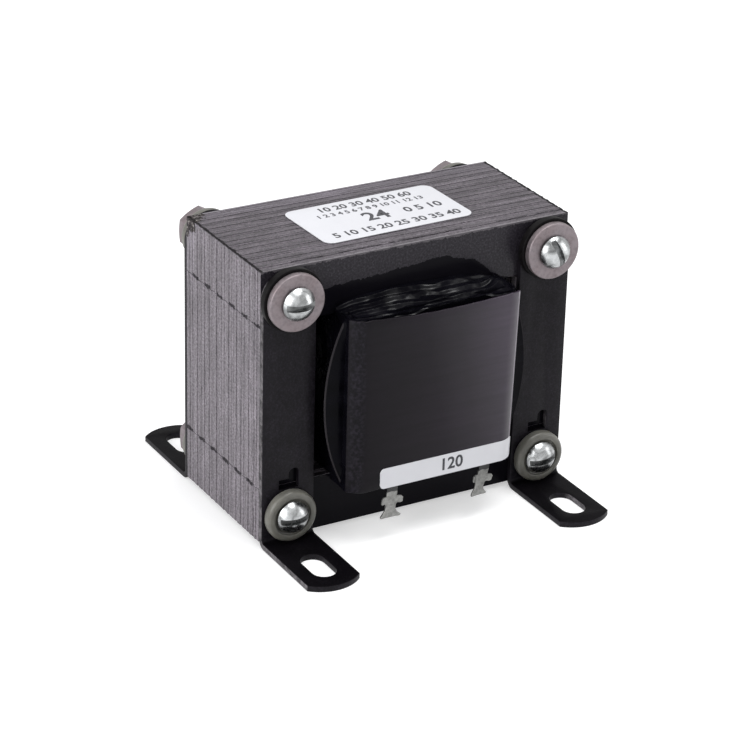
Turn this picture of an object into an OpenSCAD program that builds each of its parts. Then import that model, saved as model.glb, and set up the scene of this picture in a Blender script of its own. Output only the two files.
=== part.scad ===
// Laminated chassis transformer: an interleaved stack of E and I plates round a
// layer-wound coil, clamped by four bolts through four foot straps.
// X runs across the front, the coil's label side faces -Y, and +Z is up.
// The origin is under the middle of the core, on the surface that the feet stand on.

/* [Core plates] */
// Width of the tongue, the middle leg of each E plate
tongue_w = 22.225; // [20:0.1:25]
// Width of each window beside the tongue
window_w = 11.1125; // [10:0.1:14]
// Height of the windows
window_h = 33.3375; // [30:0.1:40]
// Width of each outer leg of an E plate
leg_w = 11.1125; // [10.8:0.1:13]
// Height of the yoke of an E plate, and of an I plate
yoke_h = 11.1125; // [10.8:0.1:13]
// Thickness of one plate
plate_t = 0.6; // [0.5:0.01:0.7]
// Air and oxide between two plates
plate_gap = 0.035; // [0.02:0.005:0.06]
// Plates in each pack that is laid the same way round
plates_per_pack = 4; // [3:1:5]
// Packs in the stack
packs = 12; // [8:2:14]
// Gap of the butt joint between an E plate and its I plate
joint_gap = 0.1; // [0.05:0.01:0.2]
// How far a plate may lie out of line with its neighbours
stack_jitter = 0.05; // [0:0.01:0.06]

/* [Coil] */
// Gap between the coil's side and the outer leg
window_spare = 3.0; // [2:0.1:3.5]
// Gap between the coil and the yokes above and below it
end_clear = 0.3; // [0.2:0.05:0.6]
// Gap between the former and the tongue
former_clear = 0.25; // [0.15:0.05:0.4]
// Wall of the paper former
former_t = 1.0; // [0.8:0.1:1.4]
// Share of the winding space that the primary takes
primary_share = 0.52; // [0.45:0.01:0.6]
// Thickness of the insulation between the windings
barrier_t = 0.4; // [0.3:0.05:0.6]
// Depth of the margin at each end of a winding
margin_h = 2.5; // [2:0.1:3.5]
// How much further each winding bows out in front and behind
bow_out = 0.45; // [0.2:0.05:0.6]
// Thickness of the outer wrap
wrap_t = 0.8; // [0.6:0.05:1]
// How far the wrap stands above and below the windows, outside the core
wrap_over = 0.8; // [0.4:0.1:1.2]
// Space between wrap and pad, which the lugs' tails lie in
tail_space = 0.45; // [0.4:0.01:0.6]
// Thickness of the stiff pads over the front and the back of the coil
pad_t = 0.5; // [0.4:0.05:0.6]
// How far a pad is bent round each corner of the coil, in degrees
pad_bend_angle = 60; // [45:5:80]
// Radius of the pads' bent corners
coil_corner_r = 4.0; // [3.5:0.1:4.5]
// Gap between the tall part of the wrap and the face of the core
wrap_clear = 0.2; // [0.1:0.05:0.5]
// Thickness of the ears that stand out at both sides of the wrap
ear_t = 0.5; // [0.3:0.05:0.8]
// Radius of the ears' curved edge
ear_r = 36.0; // [32:0.5:60]
// Gap between an ear and the plane of the outer leg's inner side
ear_clear = 0.15; // [0.1:0.05:0.5]

/* [Lugs and leads] */
// Thickness of the solder lugs
lug_t = 0.4; // [0.3:0.01:0.4]
// Width of a lug across its flared end and its wings
lug_w = 4.7; // [4:0.1:5.5]
// Width of a lug's neck
lug_neck_w = 2.3; // [1.8:0.1:2.8]
// Length of a lug below the pad
lug_drop = 6.4; // [5.5:0.1:7]
// Length of the tail behind the pad
lug_tail = 7.0; // [5:0.5:9]
// Height of the crimp wings
wing_h = 1.5; // [1:0.1:1.8]
// Distance from the pad down to the middle of the crimp wings
wing_drop = 2.7; // [2.4:0.1:3]
// How far the crimp wings stand out
wing_out = 0.9; // [0.5:0.1:1.2]
// Distance from the middle to the left front lug
front_lug_left = 9.2; // [7:0.1:11]
// Distance from the middle to the right front lug
front_lug_right = 11.0; // [7:0.1:11.5]
// Spacing of the three lugs at the back
rear_lug_pitch = 10.0; // [8:0.5:11]
// Diameter of the lead wires
lead_d = 0.6; // [0.4:0.05:0.7]

/* [Foot straps] */
// Width of the straps
strap_w = 11.1; // [9.5:0.1:11.1]
// Thickness of the straps
strap_t = 1.2; // [1:0.05:1.5]
// Radius inside the bend of a foot
bend_r = 0.8; // [0.6:0.1:0.8]
// How far a foot reaches from the face of the core
foot_reach = 21.8; // [20:0.1:26]
// Radius of the curved end of a foot
foot_end_r = 8.0; // [7:0.1:12]
// Width of the mounting slots
slot_w = 4.8; // [4.3:0.1:5.5]
// Length of the mounting slots from end to end
slot_len = 9.0; // [7:0.1:10]
// Distance from the face of the core to the middle of a mounting slot
slot_reach = 13.6; // [12:0.1:14.5]
// Height of the core above the surface that the feet stand on
core_lift = 1.0; // [1:0.1:1.6]
// Width of each step of the small stepped cut-out above the lower bolt
step_w = 2.1; // [1.6:0.1:2.4]
// Height of the stepped cut-out's tall side
step_h = 4.1; // [3:0.1:5]
// Height of the cut-out's middle above the lower bolt
step_rise = 7.1; // [6.9:0.1:9]

/* [Clamp bolts] */
// Diameter of the bolts' shank
bolt_d = 3.4; // [3:0.1:3.6]
// Wall of the insulating sleeve round a bolt
sleeve_t = 0.25; // [0.2:0.01:0.3]
// Clearance round the bolt, inside its sleeve, washers and nut
bolt_clear = 0.06; // [0.04:0.01:0.1]
// Clearance round the sleeve in the plates and straps
sleeve_clear = 0.12; // [0.1:0.01:0.2]
// Diameter of the domed heads
head_d = 6.6; // [6:0.1:7]
// Height of the domed heads
head_h = 2.6; // [2.2:0.1:3]
// Width of the screwdriver slots
driver_slot_w = 1.2; // [0.9:0.05:1.4]
// Depth of the screwdriver slots
driver_slot_depth = 1.5; // [1:0.1:1.8]
// Width of the nuts across their flats
nut_af = 7.94; // [7:0.01:9]
// Height of the nuts
nut_h = 2.8; // [2.2:0.1:3.2]
// How far an upper bolt stands out of its nut
bolt_out = 1.2; // [0.5:0.1:3]

/* [Washers] */
// Diameter of the steel washers on the upper bolts
steel_washer_d = 11.4; // [10.5:0.1:12.4]
// Thickness of the steel washers
steel_washer_t = 1.5; // [1:0.1:1.8]
// Diameter of the black fibre washers under the steel washers
fibre_washer_d = 12.4; // [10.5:0.1:12.6]
// Thickness of the black fibre washers
fibre_washer_t = 1.5; // [1:0.1:1.8]
// Diameter of the nylon washers on the lower bolts and behind
nylon_washer_d = 10.5; // [9.5:0.1:10.5]
// Thickness of the nylon washers
nylon_washer_t = 2.3; // [1.8:0.1:2.6]
// Radius that rounds both edges of a nylon washer's rim
nylon_rim_r = 0.8; // [0.8:0.05:0.9]
// Depth of the recess in a nylon washer that a head or lock washer sits in
nylon_recess = 0.5; // [0.2:0.05:0.6]
// Clearance round a head in that recess
head_room = 0.5; // [0.3:0.1:0.6]
// Thickness of the split lock washers
lock_washer_t = 0.9; // [0.7:0.05:1.1]
// Width of the metal ring of a lock washer
lock_ring_w = 1.2; // [1:0.05:1.4]
// Width of the split in a lock washer
lock_split = 0.6; // [0.4:0.1:0.9]

/* [Labels] */
// Width of the label on top of the core
top_label_w = 32.8; // [28:0.1:36]
// Depth of the label on top of the core
top_label_d = 17.5; // [14:0.1:19]
// Corner radius of the label on top of the core
top_label_r = 2.0; // [1:0.1:3]
// How far the label on top is turned, in degrees
top_label_turn = 1.5; // [0:0.1:3]
// Thickness of the labels
label_t = 0.15; // [0.12:0.01:0.2]
// Height of the label strip on the coil
strip_h = 4.2; // [3.5:0.1:5]
// Length of the flat part of the label strip on the coil
strip_l = 27.5; // [24:0.5:29]
// Corner radius of the label strip
strip_r = 0.9; // [0.4:0.1:1.2]
// How far short of the pad's side edge the strip ends, in degrees
strip_short_angle = 5; // [3:1:15]

/* [Hidden] */
// Smoothness of the round pieces
round_fn = 48;
// Overlap that a cut runs past the surface it opens
cut = 1;

// ---- Core ----
core_w = tongue_w + 2 * window_w + 2 * leg_w;
core_h = window_h + 2 * yoke_h;
plate_pitch = plate_t + plate_gap;
plate_count = packs * plates_per_pack;
core_d = plate_count * plate_pitch - plate_gap;
core_mid_z = core_lift + core_h / 2;
core_top = core_lift + core_h;
face_y = core_d / 2;

// ---- Coil, as half sizes of its rounded rectangles ----
coil_build = window_w - window_spare;
winding_space = coil_build - former_clear - former_t - barrier_t - wrap_t - tail_space - pad_t;
primary_build = winding_space * primary_share;
secondary_build = winding_space - primary_build;
former_x = tongue_w / 2 + former_clear;
former_y = face_y + former_clear;
primary_x = former_x + former_t;
primary_y = former_y + former_t;
barrier_x = primary_x + primary_build;
barrier_y = primary_y + primary_build + bow_out;
secondary_x = barrier_x + barrier_t;
secondary_y = barrier_y + barrier_t;
wrap_x = secondary_x + secondary_build;
wrap_y = secondary_y + secondary_build + bow_out;
tail_x = wrap_x + wrap_t;
tail_y = wrap_y + wrap_t;
pad_x = tail_x + tail_space;
pad_y = tail_y + tail_space;
coil_x = pad_x + pad_t;
coil_y = pad_y + pad_t;
tail_r = coil_corner_r - pad_t - tail_space;
wrap_r = tail_r - wrap_t;
secondary_r = wrap_r * 0.75;
barrier_r = wrap_r * 0.6;
primary_r = wrap_r * 0.45;
former_r = wrap_r * 0.2;
coil_half_h = window_h / 2 - end_clear;
over_half_h = window_h / 2 + wrap_over;
ear_x = tongue_w / 2 + window_w - ear_clear;
winding_half_h = coil_half_h - margin_h;
lead_hole_d = lead_d + 0.2;

// ---- Bolts ----
bolt_x = core_w / 2 - leg_w / 2;
bolt_low_z = core_lift + yoke_h / 2;
bolt_high_z = core_top - yoke_h / 2;
bolt_bore_d = bolt_d + 2 * bolt_clear;
sleeve_d = bolt_bore_d + 2 * sleeve_t;
plate_bore_d = sleeve_d + 2 * sleeve_clear + 2 * stack_jitter;
sleeve_l = core_d + 2 * strap_t;
strap_face_y = face_y + strap_t;
upper_head_y = strap_face_y + fibre_washer_t + steel_washer_t;
nylon_seat_y = strap_face_y + nylon_washer_t - nylon_recess;
bolt_l = upper_head_y + nylon_seat_y + lock_washer_t + nut_h + bolt_out;
// Turn of each driver slot from level: lower left, lower right, upper left, upper right
driver_turns = [3, 8, 2, -68];

// ---- Straps ----
bend_outer_r = bend_r + strap_t;
strap_high_z = bolt_high_z;

function two(n) = n < 10 ? str("0", n) : str(n);
function e_name(i) = str("e_pack_", two(i));
function i_name(i) = str("i_pack_", two(i));

// ---------------------------------------------------------------- Helpers

// A rounded rectangle given by its half sizes, made of squares and true circles.
module rounded_rect(half_x, half_y, r) {
    square([2 * half_x, 2 * (half_y - r)], center = true);
    square([2 * (half_x - r), 2 * half_y], center = true);
    for (sx = [-1, 1], sy = [-1, 1])
        translate([sx * (half_x - r), sy * (half_y - r)]) circle(r, $fn = round_fn);
}

// A flat ring between two rounded rectangles, standing upright round the tongue.
module coil_ring(in_x, in_y, in_r, out_x, out_y, out_r, z_low, z_high) {
    translate([0, 0, z_low]) linear_extrude(z_high - z_low) difference() {
        rounded_rect(out_x, out_y, out_r);
        rounded_rect(in_x, in_y, in_r);
    }
}

// A 2D outline drawn in X and Z, thickened from y_front towards +Y.
module upright(y_front, t) {
    translate([0, y_front + t, 0]) rotate([90, 0, 0]) linear_extrude(t) children();
}

// A ring on a bolt axis, lying between two values of Y.
module ring_on_bolt(x, z, outer_d, bore_d, y_low, y_high) {
    translate([x, y_high, z]) rotate([90, 0, 0]) difference() {
        cylinder(d = outer_d, h = y_high - y_low, $fn = round_fn);
        translate([0, 0, -cut]) cylinder(d = bore_d, h = y_high - y_low + 2 * cut, $fn = round_fn);
    }
}

// The four bolt axes, as [x, z, driver slot turn, distance of the head's seat from the middle].
// Nylon washers lie behind on all four, so each lock washer starts at their seat.
bolt_axes = [
    [-bolt_x, bolt_low_z, driver_turns[0], nylon_seat_y],
    [bolt_x, bolt_low_z, driver_turns[1], nylon_seat_y],
    [-bolt_x, bolt_high_z, driver_turns[2], upper_head_y],
    [bolt_x, bolt_high_z, driver_turns[3], upper_head_y]];

// ---------------------------------------------------------------- Core plates

module bolt_holes_2d() {
    for (sx = [-1, 1])
        translate([sx * bolt_x, core_h / 2 - yoke_h / 2]) circle(d = plate_bore_d, $fn = round_fn);
}

// E plate with its yoke on top, drawn about the middle of the core.
module e_plate_2d() {
    leg_end = -core_h / 2 + yoke_h + joint_gap / 2;
    difference() {
        translate([-core_w / 2, leg_end]) square([core_w, core_h / 2 - leg_end]);
        for (sx = [-1, 1])
            translate([sx * (tongue_w + window_w) / 2 - window_w / 2, leg_end - cut])
                square([window_w, window_h + cut - joint_gap / 2]);
        bolt_holes_2d();
    }
}

// The I plate that closes an upside-down E plate, so it lies on top as well.
module i_plate_2d() {
    difference() {
        translate([-core_w / 2, core_h / 2 - yoke_h + joint_gap / 2])
            square([core_w, yoke_h - joint_gap / 2]);
        bolt_holes_2d();
    }
}

// One pack's plates. Odd packs have the E yoke on top, and even packs the I plate.
module pack_of_plates(i, yoke_up) {
    for (j = [0:plates_per_pack - 1]) {
        k = (i - 1) * plates_per_pack + j;
        drift_x = stack_jitter * sin(k * 137.5);
        drift_z = stack_jitter * cos(k * 99);
        translate([drift_x, 0, core_mid_z + drift_z])
            upright(-face_y + k * plate_pitch, plate_t)
                mirror([0, yoke_up ? 0 : 1]) children();
    }
}

module e_pack(i) {
    color("dimgray") pack_of_plates(i, i % 2 == 1) e_plate_2d();
}

module i_pack(i) {
    color("gray") pack_of_plates(i, i % 2 == 0) i_plate_2d();
}

// ---------------------------------------------------------------- Coil

module coil_former() {
    color("peru")
        coil_ring(former_x, former_y, former_r, primary_x, primary_y, former_r + former_t,
            core_mid_z - coil_half_h, core_mid_z + coil_half_h);
}

module primary_winding() {
    color("sienna")
        coil_ring(primary_x, primary_y, former_r + former_t, barrier_x, barrier_y, primary_r,
            core_mid_z - winding_half_h, core_mid_z + winding_half_h);
}

module winding_barrier() {
    color("tan")
        coil_ring(barrier_x, barrier_y, primary_r, secondary_x, secondary_y, barrier_r,
            core_mid_z - coil_half_h, core_mid_z + coil_half_h);
}

module secondary_winding() {
    color("chocolate")
        coil_ring(secondary_x, secondary_y, barrier_r, wrap_x, wrap_y, secondary_r,
            core_mid_z - winding_half_h, core_mid_z + winding_half_h);
}

// Paper margins that fill the ends of both windings, with a hole for each lead.
module winding_margins() {
    color("saddlebrown") for (side = [-1, 1]) {
        z_low = core_mid_z + (side < 0 ? -coil_half_h : winding_half_h);
        difference() {
            coil_ring(primary_x, primary_y, former_r + former_t, barrier_x, barrier_y, primary_r,
                z_low, z_low + margin_h);
            for (x = primary_lug_x) lead_bore(x, -primary_lead_y);
        }
        difference() {
            coil_ring(secondary_x, secondary_y, barrier_r, wrap_x, wrap_y, secondary_r,
                z_low, z_low + margin_h);
            for (x = secondary_lug_x) lead_bore(x, secondary_lead_y);
        }
    }
}

// The slab between the two faces of the core, which nothing outside the windows may enter.
module core_slab(clear) {
    translate([-core_w, -face_y - clear, 0]) cube([2 * core_w, core_d + 2 * clear, core_top + cut]);
}

// Two ears of the wrap, one at each side, close behind the front pad's bent corners.
module wrap_ears() {
    for (side = [-1, 1])
        intersection() {
            translate([side * (ear_x - ear_r), 0, core_mid_z]) rotate([90, 0, 0])
                translate([0, 0, coil_y - coil_corner_r - ear_t])
                    cylinder(r = ear_r, h = ear_t, $fn = 4 * round_fn);
            translate([side * (tail_x - wrap_t / 2 + core_w / 2) - core_w / 2, -coil_y, 0])
                cube([core_w, coil_y, core_top]);
        }
}

// The wrap is cut to the window's height inside the core and stands taller outside it.
module outer_wrap() {
    color("black") {
        difference() {
            coil_ring(wrap_x, wrap_y, secondary_r, tail_x, tail_y, tail_r,
                core_mid_z - over_half_h, core_mid_z + over_half_h);
            difference() {
                core_slab(wrap_clear);
                translate([-core_w, -core_d, core_mid_z - coil_half_h])
                    cube([2 * core_w, 2 * core_d, 2 * coil_half_h]);
            }
        }
        wrap_ears();
        mirror([0, 1, 0]) wrap_ears();
    }
}

// All that lies in front of the coil and less than an angle round its two front corners.
module front_sector(angle) {
    turn_x = coil_x - coil_corner_r;
    turn_y = -coil_y + coil_corner_r;
    reach = 2 * coil_corner_r;
    right = [[turn_x, turn_y],
        [turn_x + reach * sin(angle), turn_y - reach * cos(angle)],
        [turn_x + reach * sin(angle), turn_y - reach]];
    linear_extrude(core_top)
        polygon([for (p = right) [-p[0], p[1]], for (i = [2, 1, 0]) right[i]]);
}

// A pad is one stiff sheet, bent part of the way round the two corners of the coil's front.
module coil_pad() {
    intersection() {
        coil_ring(pad_x, pad_y, coil_corner_r - pad_t, coil_x, coil_y, coil_corner_r,
            core_mid_z - over_half_h, core_mid_z + over_half_h);
        front_sector(pad_bend_angle);
    }
}

module front_pad() {
    color("#2c2a30") coil_pad();
}

module rear_pad() {
    color("#2c2a30") mirror([0, 1, 0]) coil_pad();
}

// ---------------------------------------------------------------- Lugs and leads

primary_lug_x = [-front_lug_left, front_lug_right];
secondary_lug_x = [-rear_lug_pitch, 0, rear_lug_pitch];
pad_low_z = core_mid_z - over_half_h;
lug_low_z = pad_low_z - lug_drop;
wing_z = pad_low_z - wing_drop;
flare_h = 1.5;
lead_z = pad_low_z - lead_d / 2 - 0.3;
primary_lead_y = (primary_y + barrier_y) / 2;
secondary_lead_y = (secondary_y + wrap_y) / 2;

// A lug's outline: a straight tail, two crimp wings, a neck and a flared end.
module lug_2d() {
    translate([-lug_neck_w / 2, 0]) square([lug_neck_w, lug_drop + lug_tail]);
    translate([-lug_w / 2, wing_z - lug_low_z - wing_h / 2]) square([lug_w, wing_h]);
    polygon([
        [-lug_w / 2, 0.35], [-lug_w / 2 + 0.35, 0], [lug_w / 2 - 0.35, 0], [lug_w / 2, 0.35],
        [lug_w / 2 - 0.4, flare_h * 0.6], [lug_neck_w / 2, flare_h],
        [-lug_neck_w / 2, flare_h], [-lug_w / 2 + 0.4, flare_h * 0.6]]);
}

// A front lug: its tail lies between wrap and pad, and its wings are folded forward.
module lug(x) {
    translate([x, 0, lug_low_z]) {
        upright(-tail_y - lug_t - 0.02, lug_t) lug_2d();
        for (side = [-1, 1])
            translate([side * (lug_w - lug_t) / 2 - lug_t / 2, -tail_y - lug_t - 0.02 - wing_out,
                       wing_z - lug_low_z - wing_h / 2])
                cube([lug_t, wing_out + lug_t, wing_h]);
    }
}

module primary_lugs() {
    color("silver") for (x = primary_lug_x) lug(x);
}

module secondary_lugs() {
    color("silver") mirror([0, 1, 0]) for (x = secondary_lug_x) lug(x);
}

// The hole that a lead leaves a winding's margin through.
module lead_bore(x, y) {
    translate([x, y, core_mid_z - coil_half_h - cut])
        cylinder(d = lead_hole_d, h = margin_h + 2 * cut, $fn = 24);
}

// A lead: down out of its winding, then forward under the coil to the back of its lug.
module lead(x, winding_y) {
    drop = core_mid_z - winding_half_h - 0.05 - lead_z;
    run = tail_y - 0.02 - winding_y;
    color("goldenrod") {
        translate([x, -winding_y, lead_z]) cylinder(d = lead_d, h = drop, $fn = 24);
        translate([x, -winding_y, lead_z]) sphere(d = lead_d, $fn = 24);
        translate([x, -winding_y, lead_z]) rotate([90, 0, 0])
            cylinder(d = lead_d, h = run, $fn = 24);
    }
}

module primary_leads() {
    for (x = primary_lug_x) lead(x, primary_lead_y);
}

module secondary_leads() {
    mirror([0, 1, 0]) for (x = secondary_lug_x) lead(x, secondary_lead_y);
}

// ---------------------------------------------------------------- Foot straps

// The stepped cut-out above the lower bolt, in X and Z about the bolt's axis.
module step_cutout_2d() {
    tall_x = step_w * 0.1;
    translate([tall_x, step_rise - step_h / 2]) square([step_w, step_h - step_w / 2]);
    translate([tall_x + step_w / 2, step_rise + step_h / 2 - step_w / 2])
        circle(d = step_w, $fn = round_fn);
    translate([tall_x - step_w + 0.01, step_rise - step_h / 2]) square([step_w, step_h / 2]);
}

module strap_upright_2d() {
    difference() {
        union() {
            translate([-strap_w / 2, bend_outer_r]) square([strap_w, strap_high_z - bend_outer_r]);
            translate([0, strap_high_z]) circle(d = strap_w, $fn = 2 * round_fn);
        }
        for (z = [bolt_low_z, bolt_high_z])
            translate([0, z]) circle(d = sleeve_d + 2 * sleeve_clear, $fn = round_fn);
        translate([0, bolt_low_z]) step_cutout_2d();
    }
}

// The foot seen from above, reaching along -Y, with its curved end and its slot.
module foot_2d() {
    difference() {
        intersection() {
            translate([-strap_w / 2, -face_y - foot_reach])
                square([strap_w, foot_reach - bend_outer_r]);
            translate([0, -face_y - foot_reach + foot_end_r]) union() {
                circle(foot_end_r, $fn = 2 * round_fn);
                translate([-strap_w, 0]) square([2 * strap_w, foot_reach]);
            }
        }
        translate([0, -face_y - slot_reach]) {
            square([slot_w, slot_len - slot_w], center = true);
            for (sy = [-1, 1])
                translate([0, sy * (slot_len - slot_w) / 2]) circle(d = slot_w, $fn = round_fn);
        }
    }
}

// One strap of a single folded strip: upright, quarter bend and foot.
module strap() {
    color("#19181b") {
        upright(-strap_face_y, strap_t) strap_upright_2d();
        translate([-strap_w / 2, -face_y - bend_outer_r, bend_outer_r]) rotate([0, 90, 0])
            rotate_extrude(angle = 90, $fn = 2 * round_fn)
                translate([bend_r, 0]) square([strap_t, strap_w]);
        linear_extrude(strap_t) foot_2d();
    }
}

module strap_front(side) {
    translate([side * bolt_x, 0, 0]) strap();
}

// The rear straps are the same strips turned half round.
module strap_rear(side) {
    translate([side * bolt_x, 0, 0]) rotate([0, 0, 180]) strap();
}

// ---------------------------------------------------------------- Clamp bolts

// A domed head on a shank, with its axis along Z and the head's seat at z = 0.
module clamp_bolt(turn, l) {
    dome_r = (head_d * head_d / 4 + head_h * head_h) / (2 * head_h);
    difference() {
        union() {
            intersection() {
                translate([0, 0, head_h - dome_r]) sphere(dome_r, $fn = 2 * round_fn);
                cylinder(d = head_d, h = head_h + cut, $fn = round_fn);
            }
            translate([0, 0, -l]) cylinder(d = bolt_d, h = l + cut, $fn = round_fn);
        }
        rotate([0, 0, turn])
            translate([-head_d, -driver_slot_w / 2, head_h - driver_slot_depth])
                cube([2 * head_d, driver_slot_w, driver_slot_depth + cut]);
    }
}

module clamp_bolts() {
    color("gainsboro") for (b = bolt_axes)
        translate([b[0], -b[3], b[1]]) rotate([90, 0, 0]) clamp_bolt(b[2], bolt_l);
}

module bolt_sleeves() {
    color("wheat") for (b = bolt_axes)
        ring_on_bolt(b[0], b[1], sleeve_d, bolt_bore_d, -sleeve_l / 2, sleeve_l / 2);
}

module nuts() {
    color("gainsboro") for (b = bolt_axes)
        translate([b[0], nylon_seat_y + lock_washer_t + nut_h, b[1]]) rotate([90, 0, 0]) difference() {
            cylinder(d = nut_af / cos(30), h = nut_h, $fn = 6);
            translate([0, 0, -cut]) cylinder(d = bolt_bore_d, h = nut_h + 2 * cut, $fn = round_fn);
        }
}

// ---------------------------------------------------------------- Washers

module fibre_washers() {
    color("#1b1917") for (sx = [-1, 1])
        ring_on_bolt(sx * bolt_x, bolt_high_z, fibre_washer_d, bolt_bore_d,
            -strap_face_y - fibre_washer_t, -strap_face_y);
}

module steel_washers() {
    color("rosybrown") for (sx = [-1, 1])
        ring_on_bolt(sx * bolt_x, bolt_high_z, steel_washer_d, bolt_bore_d,
            -upper_head_y, -upper_head_y + steel_washer_t);
}

// A nylon washer is one turned ring with a rounded rim and a recess for the head.
// It is drawn with its axis along Z and the strap's face at z = 0.
module nylon_washer() {
    rim_low = nylon_washer_d / 2 - nylon_rim_r;
    bore_r = bolt_bore_d / 2;
    rotate_extrude($fn = round_fn) difference() {
        union() {
            translate([bore_r, 0]) square([rim_low - bore_r, nylon_washer_t]);
            translate([bore_r, nylon_rim_r])
                square([nylon_washer_d / 2 - bore_r, nylon_washer_t - 2 * nylon_rim_r]);
            for (y = [nylon_rim_r, nylon_washer_t - nylon_rim_r])
                translate([rim_low, y]) circle(nylon_rim_r, $fn = 24);
        }
        translate([bore_r - cut, nylon_washer_t - nylon_recess])
            square([head_d / 2 + head_room - bore_r + cut, nylon_recess + cut]);
    }
}

module nylon_washers() {
    color("#8f8f84") for (sx = [-1, 1]) {
        translate([sx * bolt_x, -strap_face_y, bolt_low_z]) rotate([90, 0, 0]) nylon_washer();
        for (z = [bolt_low_z, bolt_high_z])
            translate([sx * bolt_x, strap_face_y, z]) rotate([-90, 0, 0]) nylon_washer();
    }
}

module lock_washers() {
    color("darkgray") for (b = bolt_axes)
        difference() {
            ring_on_bolt(b[0], b[1], bolt_bore_d + 2 * lock_ring_w, bolt_bore_d,
                nylon_seat_y, nylon_seat_y + lock_washer_t);
            translate([b[0] - lock_split / 2, nylon_seat_y - cut, b[1]])
                cube([lock_split, lock_washer_t + 2 * cut, bolt_bore_d + lock_ring_w]);
        }
}

// ---------------------------------------------------------------- Labels

module top_label() {
    color("white")
        translate([0, 0, core_top + stack_jitter + 0.02]) rotate([0, 0, top_label_turn])
            linear_extrude(label_t) rounded_rect(top_label_w / 2, top_label_d / 2, top_label_r);
}

// The strip lies on the front pad's lower edge and is bent round its right corner.
module coil_label() {
    strip_right = coil_x - coil_corner_r;
    strip_low = pad_low_z + 0.1;
    color("white") intersection() {
        coil_ring(coil_x, coil_y, coil_corner_r, coil_x + label_t, coil_y + label_t,
            coil_corner_r + label_t, strip_low, strip_low + strip_h);
        translate([strip_right, 0, strip_low + strip_h / 2]) upright(-coil_y - cut, coil_corner_r + cut)
            translate([(coil_corner_r + cut - strip_l) / 2, 0])
                rounded_rect((strip_l + coil_corner_r + cut) / 2, strip_h / 2, strip_r);
        front_sector(pad_bend_angle - strip_short_angle);
    }
}

// ---------------------------------------------------------------- Drawing

for (i = [1:packs]) {
    e_pack(i);
    i_pack(i);
}
coil_former();
primary_winding();
winding_barrier();
secondary_winding();
winding_margins();
outer_wrap();
front_pad();
rear_pad();
primary_lugs();
secondary_lugs();
primary_leads();
secondary_leads();
strap_front(-1);  // strap_front_left
strap_front(1);  // strap_front_right
strap_rear(-1);  // strap_rear_left
strap_rear(1);  // strap_rear_right
clamp_bolts();
bolt_sleeves();
fibre_washers();
steel_washers();
nylon_washers();
lock_washers();
nuts();
top_label();
coil_label();
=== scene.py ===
"""Builds the visible surfaces of a laminated chassis transformer over its solid frame."""
import math

import bmesh
import bpy
from bpy.props import FloatProperty, FloatVectorProperty, IntProperty, PointerProperty, StringProperty
from mathutils import Matrix, Vector, noise


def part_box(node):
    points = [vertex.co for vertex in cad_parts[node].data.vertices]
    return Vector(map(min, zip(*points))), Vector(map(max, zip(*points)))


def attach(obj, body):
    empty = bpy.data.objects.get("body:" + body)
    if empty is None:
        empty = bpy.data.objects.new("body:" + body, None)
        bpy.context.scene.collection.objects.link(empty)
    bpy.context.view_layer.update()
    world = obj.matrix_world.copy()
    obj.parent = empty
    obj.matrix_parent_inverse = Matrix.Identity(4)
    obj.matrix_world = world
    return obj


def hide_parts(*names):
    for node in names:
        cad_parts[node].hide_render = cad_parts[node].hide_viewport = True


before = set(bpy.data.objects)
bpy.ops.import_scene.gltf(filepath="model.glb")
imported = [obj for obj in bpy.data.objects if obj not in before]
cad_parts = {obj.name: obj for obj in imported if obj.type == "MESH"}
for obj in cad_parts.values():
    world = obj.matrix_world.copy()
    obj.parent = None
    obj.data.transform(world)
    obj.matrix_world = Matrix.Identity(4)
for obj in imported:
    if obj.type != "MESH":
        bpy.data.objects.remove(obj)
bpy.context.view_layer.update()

bl_info = {
    "name": "Laminated Chassis Transformer",
    "version": (1, 0, 0),
    "blender": (4, 5, 0),
    "location": "3D View > Sidebar > Transformer",
    "description": "Builds the visible surfaces of a laminated chassis transformer over its solid frame",
    "category": "Add Mesh",
}

MM = 0.001
CORE_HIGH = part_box("i_pack_12")[1]
STRAP_LOW, STRAP_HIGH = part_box("strap_front_left")
PAD_LOW, PAD_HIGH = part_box("front_pad")
WRAP_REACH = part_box("outer_wrap")[1][0]
STRIP_LOW, STRIP_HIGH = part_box("coil_label")
FACE = abs(STRAP_HIGH[1])
BOLT_X = -(STRAP_LOW[0] + STRAP_HIGH[0]) / 2
CORE_MID_Z = (PAD_LOW[2] + PAD_HIGH[2]) / 2
CORE_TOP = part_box("top_label")[0][2]
CORE_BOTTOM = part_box("e_pack_02")[0][2]
PLATE_PITCH = 0.635 * MM
PLATES_PER_PACK = 4
LEG = (CORE_TOP - CORE_BOTTOM) / 5

NYLON_RADIUS = 5.25 * MM
SHANK_BORE = 1.76 * MM
WASHER_THICKNESS = 1.5 * MM
BOLT_HIGH_Z = sum(corner[2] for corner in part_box("steel_washers")) / 2
BOLT_LOW_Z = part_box("nylon_washers")[0][2] + NYLON_RADIUS
STACK_UPPER = abs(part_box("steel_washers")[0][1])
STACK_LOWER = abs(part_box("nylon_washers")[0][1])
STRAP_FACE = abs(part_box("fibre_washers")[1][1])
NYLON_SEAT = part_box("lock_washers")[0][1]

WRAP_INSIDE = 0.95 * MM
WRAP_LEAN_SHARE = 0.55
STRIP_THICKNESS = 0.16 * MM
INK_LIFT = 0.012 * MM
TURNED_ROUND = Matrix.Rotation(math.pi, 4, "Z")


# ---------------------------------------------------------------- Sizes and colours

def length(name, description, millimetres):
    """A length setting, given in millimetres and kept in metres."""
    return FloatProperty(name=name, description=description, default=millimetres * MM,
                         subtype="DISTANCE", unit="LENGTH", precision=5)


def shade(name, description, colour):
    """A colour setting."""
    return FloatVectorProperty(name=name, description=description, default=colour, size=3,
                               subtype="COLOR", min=0.0, max=1.0)


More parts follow.
